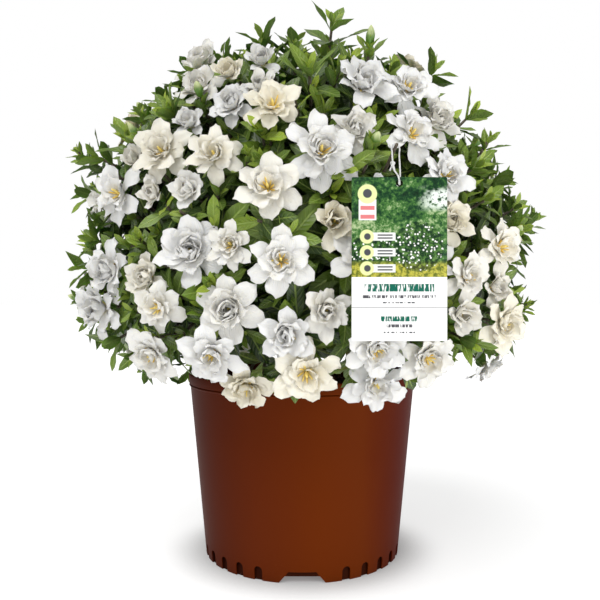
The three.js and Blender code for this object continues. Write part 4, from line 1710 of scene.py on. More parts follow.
@dataclass
class Foliage:
    """The leaves and the wood of the crown's branches."""

    crown: Crown
    shift: Vector
    leaf_width: float = 0.345
    thickness: float = 0.42
    forks: int = 7
    fork_at: float = 0.58
    hub: float = 18.0
    sag: float = 4.0
    knee: float = 0.45
    limb: Triple = (5.2, 4.4, 3.8)
    fork: Triple = (3.6, 3.0, 2.3)
    twig: Triple = (2.0, 1.6, 1.3)

    def leaf_copies(self, pattern: Pattern, shoots: Sequence[Shoot]) -> Copies:
        """Shapes every leaf of some shoots.

        Args:
            pattern: The flat blade.
            shoots: The shoots.

        Returns:
            The leaves.
        """
        frames, values = [], []
        for shoot in shoots:
            for k, leaf in enumerate(shoot.leaves):
                seed = shoot.index * 11 + k
                frames.append([shoot.place + shoot.axis * leaf.up, *shoot.frame(leaf)])
                wobble = [drift(seed, key) for key in range(31, 37)]
                values.append([leaf.length, leaf.age, *wobble])
        (root, along, side, upper), numbers = stacked(frames, values)
        length, age, plump, tone, crease, phase, twist, bend = numbers
        share, sideways, under = pattern.share, pattern.sideways, pattern.under
        width = length * (self.leaf_width + 0.04 * plump)
        blade = (4.0 * share * (1.0 - share)) ** 0.66 * (1.0 + 0.10 * (share - 0.5))
        half = 0.5 * width * np.maximum(blade, 0.05 * (share < 0.5))
        sag = (0.16 + 0.07 * tone) * length * share**2
        fold = (0.20 + 0.14 * crease) * half * np.abs(sideways)
        ripple = np.sin(math.tau * (1.4 * share + phase) + sideways * 1.6)
        wave = 0.045 * length * ripple * np.abs(sideways) * np.sin(np.pi * share)
        lift = fold + wave - under * self.thickness
        turned_side, turned_up = twisted(side, upper, 0.30 * twist * share)
        corners = (
            root
            + along * (length * share)[..., None]
            + turned_side * (half * sideways)[..., None]
            + turned_up * lift[..., None]
            - upper * sag[..., None]
            + side * (0.10 * bend * length * share**2)[..., None]
        )
        marks = {"age": np.clip(age, 0.0, 1.0), "tone": tone, "under": under}
        return Copies(pattern, corners, marks)

    def wood(self, name: str, branch: Branch, targets: Sequence[tuple[Vector, Vector]]) -> Piece:
        """Builds one branch's wood as a fan of tapered stems.

        Args:
            name: The piece's name.
            branch: The branch.
            targets: Each twig's end and the way that it points there.

        Returns:
            The piece.
        """
        curve = new_curve(name, 1.0, 1)
        heads = self._forks(branch, targets)
        hub = branch.end + (branch.heading * self.hub)
        self._stem(curve, [branch.start, branch.end, hub], self.limb, 4)
        for head in heads:
            middle = hub.lerp(head, 0.5) - UP * self.sag
            self._stem(curve, [hub, middle, head], self.fork, 5)
        for end, axis in targets:
            head = min(heads, key=lambda point: (point - end).length)
            knee = end - axis * (self.knee * (end - head).length)
            self._stem(curve, [head, knee, end], self.twig, 5)
        return meshed(curve)

    def _forks(self, branch: Branch, targets: Sequence[tuple[Vector, Vector]]) -> list[Vector]:
        """Finds where a branch forks, spread evenly among its twigs.

        Args:
            branch: The branch.
            targets: Each twig's end and direction.

        Returns:
            The forks.
        """
        ends = [end for end, _ in targets]
        chosen = [min(ends, key=lambda end: (end - branch.end).length)]
        while len(chosen) < min(self.forks, len(ends)):
            far = max(ends, key=lambda end: min((end - other).length for other in chosen))
            chosen.append(far)
        middle = self.crown.middle
        return [middle + (end - middle) * self.fork_at for end in chosen]

    def _stem(
        self, curve: bpy.types.Curve, knots: Sequence[Vector], radii: Triple, steps: int
    ) -> None:
        """Adds one bowed stem to a curve.

        Args:
            curve: The curve.
            knots: Its start, its bow and its end.
            radii: The radius at each of them.
            steps: The number of pieces that it is drawn in.
        """
        spline = curve.splines.new("POLY")
        spline.points.add(steps)
        for i, point in enumerate(spline.points):
            t = i / steps
            near, far = knots[0].lerp(knots[1], t), knots[1].lerp(knots[2], t)
            place = (near.lerp(far, t) + self.shift) * MM
            point.co = (*place, 1.0)
            point.radius = mix(mix(radii[0], radii[1], t), mix(radii[1], radii[2], t), t)


@dataclass(frozen=True)
class PetalRow:
    """A whorl of petals: how many, how long, and how it rises and curls."""

    count: int
    length: float
    width: float
    rise: float
    curl: float
    cup: float
    offset: float
    foot: float
    ruffle: float


@dataclass
class Blossoms:
    """The blooms' petals, stamens and green parts, and the buds on some shoots."""

    shape: BloomShape
    blooms: list[Bloom]
    shoots: list[Shoot]
    thickness: float = 0.45
    stray: float = 0.20
    lean: float = 9.0

    def rows(self, bloom: Bloom) -> list[PetalRow]:
        """Lists a bloom's whorls of petals.

        Args:
            bloom: The bloom.

        Returns:
            The whorls, from the outside in.
        """
        form, loose = bloom.form.value, drift(bloom.index, 41)
        outer, inner, slim = form.outer, form.inner, 0.06 * loose
        if bloom.form is SMALL:
            return [
                PetalRow(5, 0.92, 0.58 - slim, outer - 12, -50, 0.30, 0, 0, 0.07),
                PetalRow(5, 0.82, 0.82, outer + 14, 8, 0.56, 0.1, 1, 0.09),
                PetalRow(4, 0.66, 0.88, outer + 27, 32, 0.66, 0.3, 2, 0.09),
            ]
        if bloom.form is CUP:
            rows = [
                PetalRow(6, 0.97, 0.54 - slim, outer - 22, -66, 0.24, 0, 0, 0.11),
                PetalRow(6, 0.80, 0.74, outer + 6, -16, 0.40, 0.5 / 6, 0.8, 0.17),
                PetalRow(5, 0.68, 0.80, inner, 12, 0.50, 0.04 * loose, 1.6, 0.17),
                PetalRow(4, 0.55, 0.86, inner + 10, 30, 0.60, 0.11, 2.4, 0.19),
                PetalRow(3, 0.42, 0.92, inner + 18, 44, 0.70, 0.2, 3, 0.18),
            ]
            return rows[:-1] if loose > 0.4 else rows
        rows = [
            PetalRow(6, 1.12, 0.58 - slim, outer - 4, -64, 0.18, 0, 0, 0.11),
            PetalRow(6, 0.84, 0.68, outer + 22, -30, 0.30, 0.1, 0.8, 0.16),
            PetalRow(5, 0.66, 0.84, inner + 6 * loose, 8, 0.44, 0.06 * loose, 1.6, 0.21),
            PetalRow(4, 0.50, 0.84, inner + 14, 26, 0.55, 0.12, 2.4, 0.21),
        ]
        return rows[:-1] if loose < -0.3 else rows

    def _petal(
        self, bloom: Bloom, whorl: PetalRow, row: int, k: int
    ) -> tuple[list[Vector], list[float]]:
        """Varies one petal.

        Args:
            bloom: Its bloom.
            whorl: Its whorl.
            row: The whorl's number, from the outside in.
            k: Its number in the whorl.

        Returns:
            Its foot and directions, and its sizes, angles and age.
        """
        seed = bloom.index * 17 + k
        flat = math.cos(math.radians(bloom.form.value.outer))
        full = (bloom.radius - self.shape.neck) / max(0.72, flat)
        turn = math.tau * ((k + 0.5) / whorl.count + whorl.offset)
        turn += self.stray * drift(seed, 90 + row)
        ragged = 1.0 + self.shape.ragged * drift(seed, 0 if row == 0 else row + 50)
        out = around(Vector(), across(bloom.axis), 1.0, turn)
        foot = bloom.base + bloom.axis * (self.shape.tube + whorl.foot)
        wobble = [drift(seed, 60 + 7 * row + n) for n in range(6)]
        lean = self.lean * math.cos(turn - math.pi * drift(bloom.index, 43))
        rise = whorl.rise - whorl.curl / 2.0 + 11.0 * wobble[1] + 12.0 * out.z + lean
        values = [
            full * whorl.length * ragged * 0.97,
            whorl.width * (1.0 + 0.14 * wobble[0]),
            math.radians(rise),
            math.radians(whorl.curl + 9.0 + 20.0 * wobble[2]),
            whorl.cup * (1.0 + 0.25 * wobble[3]),
            whorl.ruffle,
            0.24 + 0.14 * wobble[4],
            wobble[5] * 3.0,
            (0.5 + 0.5 * drift(bloom.index, 42)) ** 1.6,
            row,
        ]
        return [foot, out, bloom.axis], values

    def petal_copies(self, pattern: Pattern, blooms: Sequence[Bloom]) -> Copies:
        """Shapes every petal of some blooms.

        Args:
            pattern: The flat blade.
            blooms: The blooms.

        Returns:
            The petals.
        """
        petals = [
            self._petal(bloom, whorl, row, k)
            for bloom in blooms
            for row, whorl in enumerate(self.rows(bloom))
            for k in range(whorl.count)
        ]
        (foot, out, axis), numbers = stacked(*zip(*petals))
        length, wide, rise, curl, cup, ruffle, twist, phase, age, row = numbers
        sideways, under = pattern.sideways, pattern.under
        dent = 0.10 * sideways**2 - 0.05 * np.cos(3.0 * (sideways + phase)) * (1.0 - sideways**2)
        share = pattern.share * (1.0 - dent * pattern.share**4)
        angle = rise + curl * share
        reach = length * (np.sin(angle) - np.sin(rise)) / curl
        climb = -length * (np.cos(angle) - np.cos(rise)) / curl
        claw = 0.24 + 0.76 * np.clip(share / 0.58, 0.0, 1.0) ** 1.15
        tip = np.sqrt(np.clip(1.0 - (np.clip(share - 0.58, 0.0, 1.0) / 0.46) ** 2, 0.08, 1.0))
        scallop = 1.0 + 0.05 * np.sin(9.0 * share + 2.0 * phase + 1.7 * sideways)
        half = 0.5 * wide * length * claw * tip * scallop
        waves = np.sin(math.tau * (1.5 * share + phase) + sideways * 2.2)
        waves += 0.45 * np.sin(math.tau * (3.1 * share - phase) - sideways * 3.0)
        edge = np.abs(sideways) ** 1.6 * np.clip(share, 0.0, 1.0) ** 1.2
        flare = cup * (1.0 - 1.5 * (row < 2) * share) * half * sideways**2
        crease = 0.12 * half * np.exp(-((sideways / 0.22) ** 2)) * share
        lift = flare - crease + 0.8 * ruffle * length * waves * edge - under * self.thickness
        normal = -out * np.sin(angle)[..., None] + axis * np.cos(angle)[..., None]
        blade_side, blade_up = twisted(np.cross(axis, out), normal, twist * share)
        corners = (
            foot
            + out * (self.shape.neck * 0.55 + reach)[..., None]
            + axis * climb[..., None]
            + blade_side * (half * sideways)[..., None]
            + blade_up * lift[..., None]
        )
        return Copies(pattern, corners, {"age": age})

    def round_copies(
        self, pattern: Pattern, rows: Sequence[tuple[Vector, Vector, float, float, float]]
    ) -> Copies:
        """Places copies of a round shape.

        Args:
            pattern: The shape, from -1 to 1 along Y.
            rows: Each copy's foot, direction, length, width and age.

        Returns:
            The copies.
        """
        frames = [[foot, axis, *across(axis)] for foot, axis, *_ in rows]
        (foot, axis, side, other), sizes = stacked(frames, [row[2:] for row in rows])
        length, width, age = sizes
        x, _, z = pattern.corners.T
        corners = foot + side * (width * x)[..., None] + other * (width * z)[..., None]
        return Copies(pattern, corners + axis * (length * pattern.share)[..., None], {"age": age})

    def stamens(self) -> Copies:
        """Places each bloom's stigma and anthers.

        Returns:
            The copies.
        """
        rows = []
        for bloom in self.blooms:
            throat = bloom.base + bloom.axis * (self.shape.tube + 1.0)
            size = bloom.radius / 29.0
            rows.append((throat, bloom.axis, 11.5 * size, 1.3 * size, 0.0))
            for k in range(8):
                lean, longer, age = (drift(bloom.index * 9 + k, key) for key in (71, 72, 73))
                out = around(Vector(), across(bloom.axis), 1.0, k * GOLDEN_TURN)
                heading = (bloom.axis + out * (0.72 + 0.32 * lean)).normalized()
                length = size * (10.0 + 2.0 * longer)
                rows.append((throat + out * 1.2, heading, length, 0.75 * size, 0.5 + 0.5 * age))
        return self.round_copies(round_pattern("club", CLUB, 6), rows)

    def buds(self) -> Copies:
        """Places a closed spiral bud at the tip of every third upright shoot.

        Returns:
            The buds.
        """
        bud = round_pattern("bud", BUD, 20)
        x, y, z = bud.corners.T
        bud.corners[:, [0, 2]] *= 1.0 + 0.13 * np.sin(5.0 * np.arctan2(z, x) + 4.0 * y)[:, None]
        rows = []
        for shoot in self.shoots:
            if shoot.index // 1000 == 1 and shoot.index % 3 == 1:
                length = 17.0 + 4.0 * drift(shoot.index, 81)
                width = 3.6 + 0.7 * drift(shoot.index, 82)
                rows.append((shoot.place + shoot.axis * 9.0, shoot.axis, length, width, 0.0))
        return self.round_copies(bud, rows)

    def calyxes(self) -> list[Copies]:
        """Places each bloom's green tube and narrow sepals.

        Returns:
            The copies.
        """
        tubes, sepals = [], []
        for bloom in self.blooms:
            base, axis = bloom.base, bloom.axis
            tubes.append((base - axis * 0.3, axis, self.shape.tube + 1.5, 1.0, 0.0))
            for k in range(6):
                out = around(Vector(), across(axis), 1.0, math.tau * k / 6.0 + 0.3)
                heading = axis + out * (0.34 + 0.12 * drift(bloom.index + k, 75))
                foot = base + axis * 3.2 + out * 1.9
                sepals.append((foot, heading.normalized(), 9.0, 0.8, 0.0))
        tube, sepal = round_pattern("tube", TUBE, 8), round_pattern("sepal", SEPAL, 5)
        return [self.round_copies(tube, tubes), self.round_copies(sepal, sepals)]


# The cells across and along a leaf, for the fine shoots and for those deep inside.
LEAF_CELLS = {True: (4, 6), False: (2, 4)}
# Small round shapes: the radius and the height of each ring, the height from -1 to 1.
CLUB = [(0.25, -1), (0.7, -0.75), (1.0, 0.1), (0.8, 0.75), (0.3, 1)]
TUBE = [(2.0, -1), (2.6, -0.6), (2.4, 0.2), (3.3, 1)]
SEPAL = [(0.6, -1), (1.0, -0.3), (0.6, 0.5), (0.12, 1)]
BUD = [(0.5, -1), (0.72, -0.8), (0.9, -0.5), (1.0, -0.15), (0.95, 0.2), (0.75, 0.5), (0.5, 0.75)]
BUD += [(0.22, 0.93), (0.06, 1)]
# The trunk: the radius and the height of each ring, in millimetres.
TRUNK = [(9, 100), (12, 140), (13, 166), (12.8, 178), (11.2, 188), (10.2, 200), (9.6, 230)]
TRUNK += [(9.3, 252), (8.9, 280), (8.7, 304), (8.2, 316), (5.5, 321)]


@dataclass
class Plant:
    """The whole plant: blooms, leafy branches and trunk."""

    shift: Vector
    crown: Crown = Crown()
    shape: BloomShape = BloomShape()

    def __post_init__(self) -> None:
        """Places its blooms and shoots, and makes its bark."""
        self.blooms = BloomLayout(self.crown, self.shape).place()
        self.shoots = ShootLayout(self.crown, self.blooms, self.shape).place()
        self.bark = BarkFinish().make()

    def build(self) -> None:
        """Builds and dresses all its pieces."""
        self._build_blooms()
        self._build_branches()
        self._build_trunk()

    def _build_blooms(self) -> None:
        """Builds a piece of petals for each cluster, and all stamens, calyxes and spiral buds."""
        blossoms = Blossoms(self.shape, self.blooms, self.shoots)
        petal, finish = blade_pattern(8, 8, pointed=False), PetalFinish().make()
        groups = list(dict.fromkeys(bloom.group for bloom in self.blooms))
        for number, group in enumerate(groups, start=1):
            members = [bloom for bloom in self.blooms if bloom.group == group]
            copies = blossoms.petal_copies(petal, members)
            piece = fused(f"petals_{number:02d}", [copies], self.shift)
            dressed(piece, finish, [f"bloom_{number:02d}"], sharp=80.0)
        stamens = fused("stamens", [blossoms.stamens()], self.shift)
        dressed(stamens, PollenFinish().make())
        calyxes = fused("calyxes", [*blossoms.calyxes(), blossoms.buds()], self.shift)
        dressed(calyxes, CalyxFinish().make())

    def _build_branches(self) -> None:
        """Builds the leaves and the wood of each branch."""
        layout = BranchLayout(self.crown)
        branches = layout.branches()
        foliage = Foliage(self.crown, self.shift)
        patterns = {fine: blade_pattern(*cells, pointed=True) for fine, cells in LEAF_CELLS.items()}
        finish = LeafFinish().make()
        owner = [layout.nearest(branches, shoot.place) for shoot in self.shoots]
        bloom_owner = [layout.nearest(branches, bloom.base) for bloom in self.blooms]
        peg = Vector(PEG)
        for number, branch in enumerate(branches):
            mine = [shoot for shoot, at in zip(self.shoots, owner) if at == number]
            batches = [
                foliage.leaf_copies(pattern, [shoot for shoot in mine if shoot.fine == fine])
                for fine, pattern in patterns.items()
            ]
            piece = fused(f"leaves_{number + 1:02d}", batches, self.shift)
            dressed(piece, finish, [f"leafy_branch_{number + 1:02d}"], sharp=70.0)
            targets = [(shoot.place + shoot.axis * 14.0, shoot.axis) for shoot in mine]
            targets += [(b.base, b.axis) for b, at in zip(self.blooms, bloom_owner) if at == number]
            if number == layout.nearest(branches, peg):
                heading = Vector((0.0, -1.0, 0.1)).normalized()
                targets.append((peg + heading * 7.0, heading))
            wood = foliage.wood(f"wood_{number + 1:02d}", branch, targets)
            dressed(wood, self.bark)

    def _build_trunk(self) -> None:
        """Builds the trunk: a little knotted, flared where it enters the mix."""
        piece = raised("trunk_wood", TRUNK, 16)
        apply_modifier(piece, "SUBSURF", levels=1, render_levels=1)
        for corner in piece.data.vertices:
            x, y, height = corner.co.x, corner.co.y, corner.co.z / MM
            angle = math.atan2(y, x)
            knot = 0.05 * math.sin(3 * angle + height * 0.05)
            knot += 0.04 * math.sin(7 * angle - height * 0.11)
            swell = 1.0 + knot * min(1.0, math.hypot(x, y) / 0.004)
            corner.co.x *= swell
            corner.co.y *= swell
        piece.location = self.shift * MM
        settle(piece)
        dressed(piece, self.bark, ["trunk"])


# ---- the pot


@dataclass
class Pot:
    """The nursery pot, whose sizes the bark mix in it also uses."""

    height: float = 188.0
    rim: float = 120.0
    shoulder: float = 118.0
    shoulder_height: float = 174.5
    foot: float = 101.5
    wall: float = 2.1
    foot_width: float = 4.5
    floor_under: float = 7.0
    floor_top: float = 10.0
    sides: int = 120
    recess_pitch: float = 12.0
    recess_width: float = 8.5
    recess_height: float = 13.5
    recess_depth: float = 2.2
    notches: int = 3
    notch_top: float = 26.0
    notch_foot: float = 44.0
    notch_height: float = 11.0
    notch_skin: float = 1.6
    drains: int = 4
    drain_radius: float = 8.0
    drain_ring: float = 62.0

    def build(self) -> None:
        """Builds and dresses the pot."""
        piece = raised("nursery_pot", self._profile(), self.sides)
        soft = {"width": 0.5 * MM, "segments": 2, "limit_method": "ANGLE", "angle_limit": 0.5}
        apply_modifier(piece, "BEVEL", **soft)
        cut = {"operation": "DIFFERENCE", "solver": "MANIFOLD"}
        for cutter in self._cutters():
            apply_modifier(piece, "BOOLEAN", object=cutter, **cut)
            bpy.data.objects.remove(cutter)
        dressed(piece, PotFinish().make(), ["pot"], sharp=28.0)

    def _radius_at(self, height: float) -> float:
        """Returns the radius of the outside at a height."""
        return mix(self.foot, self.shoulder, height / self.shoulder_height)

    def _profile(self) -> Rings:
        """Draws the pot's section, from under its floor, up its outside and down its inside.

        Returns:
            The radius and the height of each ring.
        """
        ledge, at = self.shoulder_height, self._radius_at
        outside = [(at(height), height) for height in (0.0, 9.0, 20.0, 48.0, 90.0, 132.0, ledge)]
        return [
            (self.foot - self.foot_width - 14.0, self.floor_under),
            (self.foot - self.foot_width - 1.5, self.floor_under),
            (self.foot - self.foot_width, 0.0),
            *outside,
            (self.rim - 0.6, ledge + 1.0),
            (self.rim - 0.5, ledge + 1.9),
            (self.shoulder + 0.1, ledge + 2.6),
            (self.rim - 0.4, ledge + 3.4),
            (self.rim, self.height - 1.4),
            (self.rim - 0.4, self.height - 0.3),
            (self.rim - 1.2, self.height),
            (self.rim - 2.3, self.height - 0.2),
            (self.rim - 2.7, self.height - 1.2),
            (self.shoulder - self.wall, ledge),
            (at(90.0) - self.wall - 0.4, 90.0),
            (self.foot - self.wall - 1.0, self.floor_top + 1.5),
            (self.foot - self.wall - 3.0, self.floor_top),
        ]

    def _prism(self, name: str, points: Rings, near: float, far: float) -> Piece:
        """Makes a prism that reaches out from the axis towards -Y.

        Args:
            name: Its name.
            points: Its outline, across and up, in millimetres.
            near: Where it starts.
            far: Where it ends.

        Returns:
            The prism.
        """
        bpy.ops.mesh.primitive_circle_add(vertices=len(points), radius=1.0, fill_type="NGON")
        piece = named(name)
        for corner, (x, z) in zip(piece.data.vertices, points):
            corner.co = (x * MM, -near * MM, z * MM)
        with editing(piece, "FACE", "SELECT"):
            reach = (0.0, (near - far) * MM, 0.0)
            bpy.ops.mesh.extrude_region_move(TRANSFORM_OT_translate={"value": reach})
            turn_outwards()
        return piece

    def _copies(self, piece: Piece, azimuths: Sequence[float]) -> list[Piece]:
        """Turns copies of a prism round the axis.

        Args:
            piece: The prism, which is removed.
            azimuths: The turn of each copy, in degrees.

        Returns:
            The copies.
        """
        copies = []
        for azimuth in azimuths:
            copy = piece.copy()
            copy.data = piece.data.copy()
            copy.data.transform(Matrix.Rotation(math.radians(azimuth), 4, "Z"))
            bpy.context.scene.collection.objects.link(copy)
            copies.append(copy)
        bpy.data.objects.remove(piece)
        return copies

    def _cutters(self) -> list[Piece]:
        """Makes everything that is cut out of the pot.

        Returns:
            Two cutters, each of prisms that don't touch each other.
        """
        half = self.recess_width / 2.0
        spring = self.recess_height - half
        turns = np.linspace(0.0, math.pi, 11)
        arch = [(half * math.cos(turn), spring + half * math.sin(turn)) for turn in turns]
        past = self.foot + 6.0
        arch = [(-half, -1.0), (half, -1.0), *arch]
        recess = self._prism("recess", arch, self.foot - self.recess_depth, past)
        every = 360.0 / self.notches
        azimuths = [
            azimuth
            for azimuth in np.arange(0.0, 360.0, self.recess_pitch)
            if abs((azimuth + every / 2.0) % every - every / 2.0) > self.recess_pitch
        ]
        cutters = self._copies(recess, azimuths)
        low, high, top = self.notch_foot / 2.0, self.notch_top / 2.0, self.notch_height
        under = self.floor_under - 0.6
        slant = mix(low, high, under / top)
        foot, left = [(-low, -1.0), (low, -1.0), (low, 0.0)], (-low, 0.0)
        through = [*foot, (slant, under), (-slant, under), left]
        skin = [*foot, (high, top), (-high, top), left]
        azimuths = [every * i for i in range(self.notches)]
        inner = self.foot - self.foot_width - 3.0
        cutters += self._copies(self._prism("notch", through, inner, past), azimuths)
        skins = self._prism("skin", skin, self.foot - self.notch_skin, past)
        for i in range(self.drains):
            angle = math.tau * (i + 0.5) / self.drains
            ring = self.drain_ring * MM
            bpy.ops.mesh.primitive_cylinder_add(
                vertices=24,
                radius=self.drain_radius * MM,
                depth=0.02,
                location=(ring * math.sin(angle), -ring * math.cos(angle), 0.008),
            )
            drain = named("drain")
            settle(drain)
            cutters.append(drain)
        return [joined(cutters), joined(self._copies(skins, azimuths))]


@dataclass
class BarkMix:
    """The potting mix: a lumpy surface covered in bark chips."""

    pot: Pot
    edge: float = 170.0
    top: float = 179.0
    chips: int = 900

    def build(self) -> None:
        """Builds and dresses the mix."""
        limit = self.pot.shoulder - self.pot.wall - 1.6
        foot = self.pot.foot - self.pot.wall - 2.0
        profile = [(foot - 6.0, self.pot.floor_top + 0.4), (foot, self.pot.floor_top + 1.0)]
        profile += [(limit - 1.0, self.edge - 3.0), (limit - 2.5, self.edge - 0.5)]
        rings = [limit * share for share in (0.85, 0.65, 0.45, 0.25, 0.12)]
        profile += [(radius, self.height_at(radius) - 1.5) for radius in rings]
        base = raised("bark_mix_body", profile, 48)
        bpy.ops.mesh.primitive_cube_add(size=2.0)
        chip = named("chip")
        apply_modifier(chip, "BEVEL", width=0.35, segments=1)
        pattern = Pattern.taken_from(chip)
        piece = fused("bark_mix", [self._chips(pattern, limit)], Vector())
        dressed(joined([piece, base]), BarkMixFinish().make(), ["soil"], sharp=35.0)

    def height_at(self, radius: float | np.ndarray) -> float | np.ndarray:
        """Returns the surface's height at a distance from the axis."""
        share = radius / self.pot.shoulder
        return mix(self.top - 2.0, self.edge - 1.0, share * share)

    def _chips(self, pattern: Pattern, limit: float) -> Copies:
        """Scatters chips over the surface.

        Args:
            pattern: The chip.
            limit: How far from the axis they reach.

        Returns:
            The chips.
        """
        rng = np.random.default_rng(11)
        count, each = self.chips, len(pattern.corners)
        number = np.arange(count)
        radius = (limit - 6.0) * np.sqrt((number + 0.5) / count)
        angle = number * GOLDEN_TURN
        height = self.height_at(radius) + rng.uniform(-2.0, 1.6, count)
        size = rng.uniform(1.6, 5.6, (count, 1)) * np.array([[1.0, 0.62, 0.3]])
        size *= rng.uniform(0.7, 1.2, (count, 3))
        jitter = 1.0 + 0.28 * rng.standard_normal((count, each, 3)).clip(-1.5, 1.5)
        corners = pattern.corners[None] * size[:, None, :] * jitter
        angles = zip(rng.uniform(0, 6.28, count), *rng.normal(0, 0.4, (2, count)))
        turns = [
            Matrix.Rotation(a, 3, "Z") @ Matrix.Rotation(b, 3, "X") @ Matrix.Rotation(c, 3, "Y")
            for a, b, c in angles
        ]
        corners = np.einsum("nij,nmj->nmi", np.array(turns), corners)
        middle = np.column_stack([radius * np.cos(angle), radius * np.sin(angle), height])
        marks = {"tone": rng.uniform(0, 1, (count, 1))}
        return Copies(pattern, corners + middle[:, None, :], marks)


# ---- tag and string


PAPER, WHITE, LIME = (0.86, 0.86, 0.85), (0.80, 0.81, 0.78), (0.70, 0.78, 0.36)
GREY, RED, TEAL = (0.07, 0.07, 0.08), (0.62, 0.035, 0.050), (0.004, 0.115, 0.075)


@dataclass(frozen=True)
class CardFace:
    """The face of the card: how far across and up it a point is, from 0 to 1."""

    u: Wire
    v: Wire
    aspect: float

    def disc(self, across: float, up: float, size: float) -> Wire:
        """Marks a disc.

        Args:
            across: Its middle's place across the card.
            up: Its middle's place up the card.
            size: Its radius, as a share of the card's width.

        Returns:
            The mask.
        """
        x, y = self.u - across, (self.v - up) * self.aspect
        return ((x * x + y * y) ** 0.5).step(size + 0.006, size - 0.004)

    def panel(self, across: float, up: float, wide: float, tall: float) -> Wire:
        """Marks a panel by its middle, half its width and half its height."""
        return self.u.near(across, wide, 0.008) * self.v.near(up, tall, 0.003)


@dataclass(frozen=True)
class CardFinish:
    """A printed card: mottled greenery with blossoms and plain labels, and rows of marks below.

    The marks are noise that is cut into bars, so that they say nothing.
    """

    left: float
    right: float
    low: float
    high: float

    def make(self) -> Material:
        """Builds the material.

        Returns:
            The material.
        """
        tree = Tree("printed_card")
        point = tree.place()
        x, _, z = tree.axes(point)
        width, height = self.right - self.left, self.high - self.low
        u, v = (x - self.left * MM) / (width * MM), (z - self.low * MM) / (height * MM)
        face = CardFace(u, v, height / width)
        flat = tree.scaled(point, (1.0, 0.0, 1.0))
        leaves = tree.noise(flat, 0.0034, 5.0, 0.7)
        bush = (face.disc(0.70, 0.575, 0.26) + face.panel(0.20, 0.56, 0.30, 0.07)).least(1.0)
        card = self._greenery(tree, face, leaves, bush)
        blossoms = tree.spots(flat, 0.0025).step(0.36, 0.20) * bush
        letters = tree.noise(tree.scaled(point, (1.0, 0.0, 0.16)), 0.0013, 2.0).step(0.42, 0.50)
        for share, ink in [(blossoms, WHITE), *self._labels(face), *self._marks(face, letters)]:
            card = tree.blend(share, card, ink)
        edge = tree.noise(point, 0.001)
        return tree.surface(
            Base_Color=card,
            Roughness=0.40 + edge * 0.08,
            Normal=tree.bump(edge, 0.00005, 0.4),
            Specular_IOR_Level=0.15,
        )

    @staticmethod
    def _greenery(tree: Tree, face: CardFace, leaves: Wire, bush: Wire) -> Wire:
        """Paints the picture: dark trees, a pale glade, a lawn and a bush.

        Args:
            tree: The material's tree.
            face: The card's face.
            leaves: The fine pattern of the foliage.
            bush: Where the bush is.

        Returns:
            The colour.
        """
        banks = tree.noise(tree.scaled(tree.place(), (0.6, 0.0, 1.0)), 0.013, 3.0)
        dark, green, light = (0.002, 0.012, 0.005), (0.008, 0.045, 0.015), (0.060, 0.17, 0.035)
        stops = [(0.36, dark), (0.49, green), (0.58, light), (0.68, (0.42, 0.52, 0.28))]
        shade = leaves * 0.62 + banks * 0.42 + face.v.near(0.70, 0.03, 0.03) * 0.07
        card = tree.ramp(shade, stops)
        glade = banks.step(0.42, 0.52) * face.u.step(0.66, 0.86) * face.v.near(0.87, 0.03, 0.06)
        card = tree.blend(glade * leaves.step(0.40, 0.50), card, (0.70, 0.76, 0.70))
        lawn = tree.blend(leaves.step(0.40, 0.58), (0.10, 0.13, 0.014), (0.46, 0.43, 0.060))
        card = tree.blend(face.v.step(0.50, 0.45), card, lawn)
        shrub = tree.blend(leaves.step(0.45, 0.60), (0.003, 0.016, 0.006), (0.08, 0.19, 0.035))
        return tree.blend(bush * 0.7, card, shrub)

    @staticmethod
    def _labels(face: CardFace) -> list[tuple[Wire, Colour]]:
        """Lists the plain labels and discs on the picture.

        Args:
            face: The card's face.

        Returns:
            The place and the ink of each print, in order.
        """
        disc, panel = face.disc, face.panel
        prints = [(panel(0.166, 0.80, 0.088, 0.062), WHITE), (disc(0.165, 0.897, 0.100), LIME)]
        prints += [(disc(0.165, 0.900, 0.046), GREY)]
        prints += [(panel(0.166, level, 0.070, 0.011) * 0.8, RED) for level in (0.812, 0.758)]
        for level in (0.637, 0.541, 0.443):
            prints += [(panel(0.33, level, 0.125, 0.023), WHITE), (disc(0.16, level, 0.073), LIME)]
            prints += [(disc(0.165, level, 0.034), GREY)]
            prints += [(panel(0.35, level + lift, 0.075, 0.003), GREY) for lift in (-0.009, 0.009)]
        return prints

    @staticmethod
    def _marks(face: CardFace, letters: Wire) -> list[tuple[Wire, Colour]]:
        """Lists the white panel, and the rows of marks and the line on it.

        Args:
            face: The card's face.
            letters: What cuts a bar into marks.

        Returns:
            The place and the ink of each print, in order.
        """
        bars = ((0.325, 0.022, 0.36, TEAL), (0.270, 0.008, 0.38, GREY), (0.234, 0.003, 0.17, GREY),
                (0.135, 0.014, 0.19, TEAL), (0.092, 0.008, 0.13, GREY), (0.052, 0.003, 0.16, GREY))
        rows = [
            (face.panel(0.5, middle, reach, half) * letters, ink)
            for middle, half, reach, ink in bars
        ]
        line = (face.v.near(0.205, 0.0016, 0.001) * 0.8, GREY)
        return [(face.v.step(0.391, 0.389), PAPER), *rows, line]


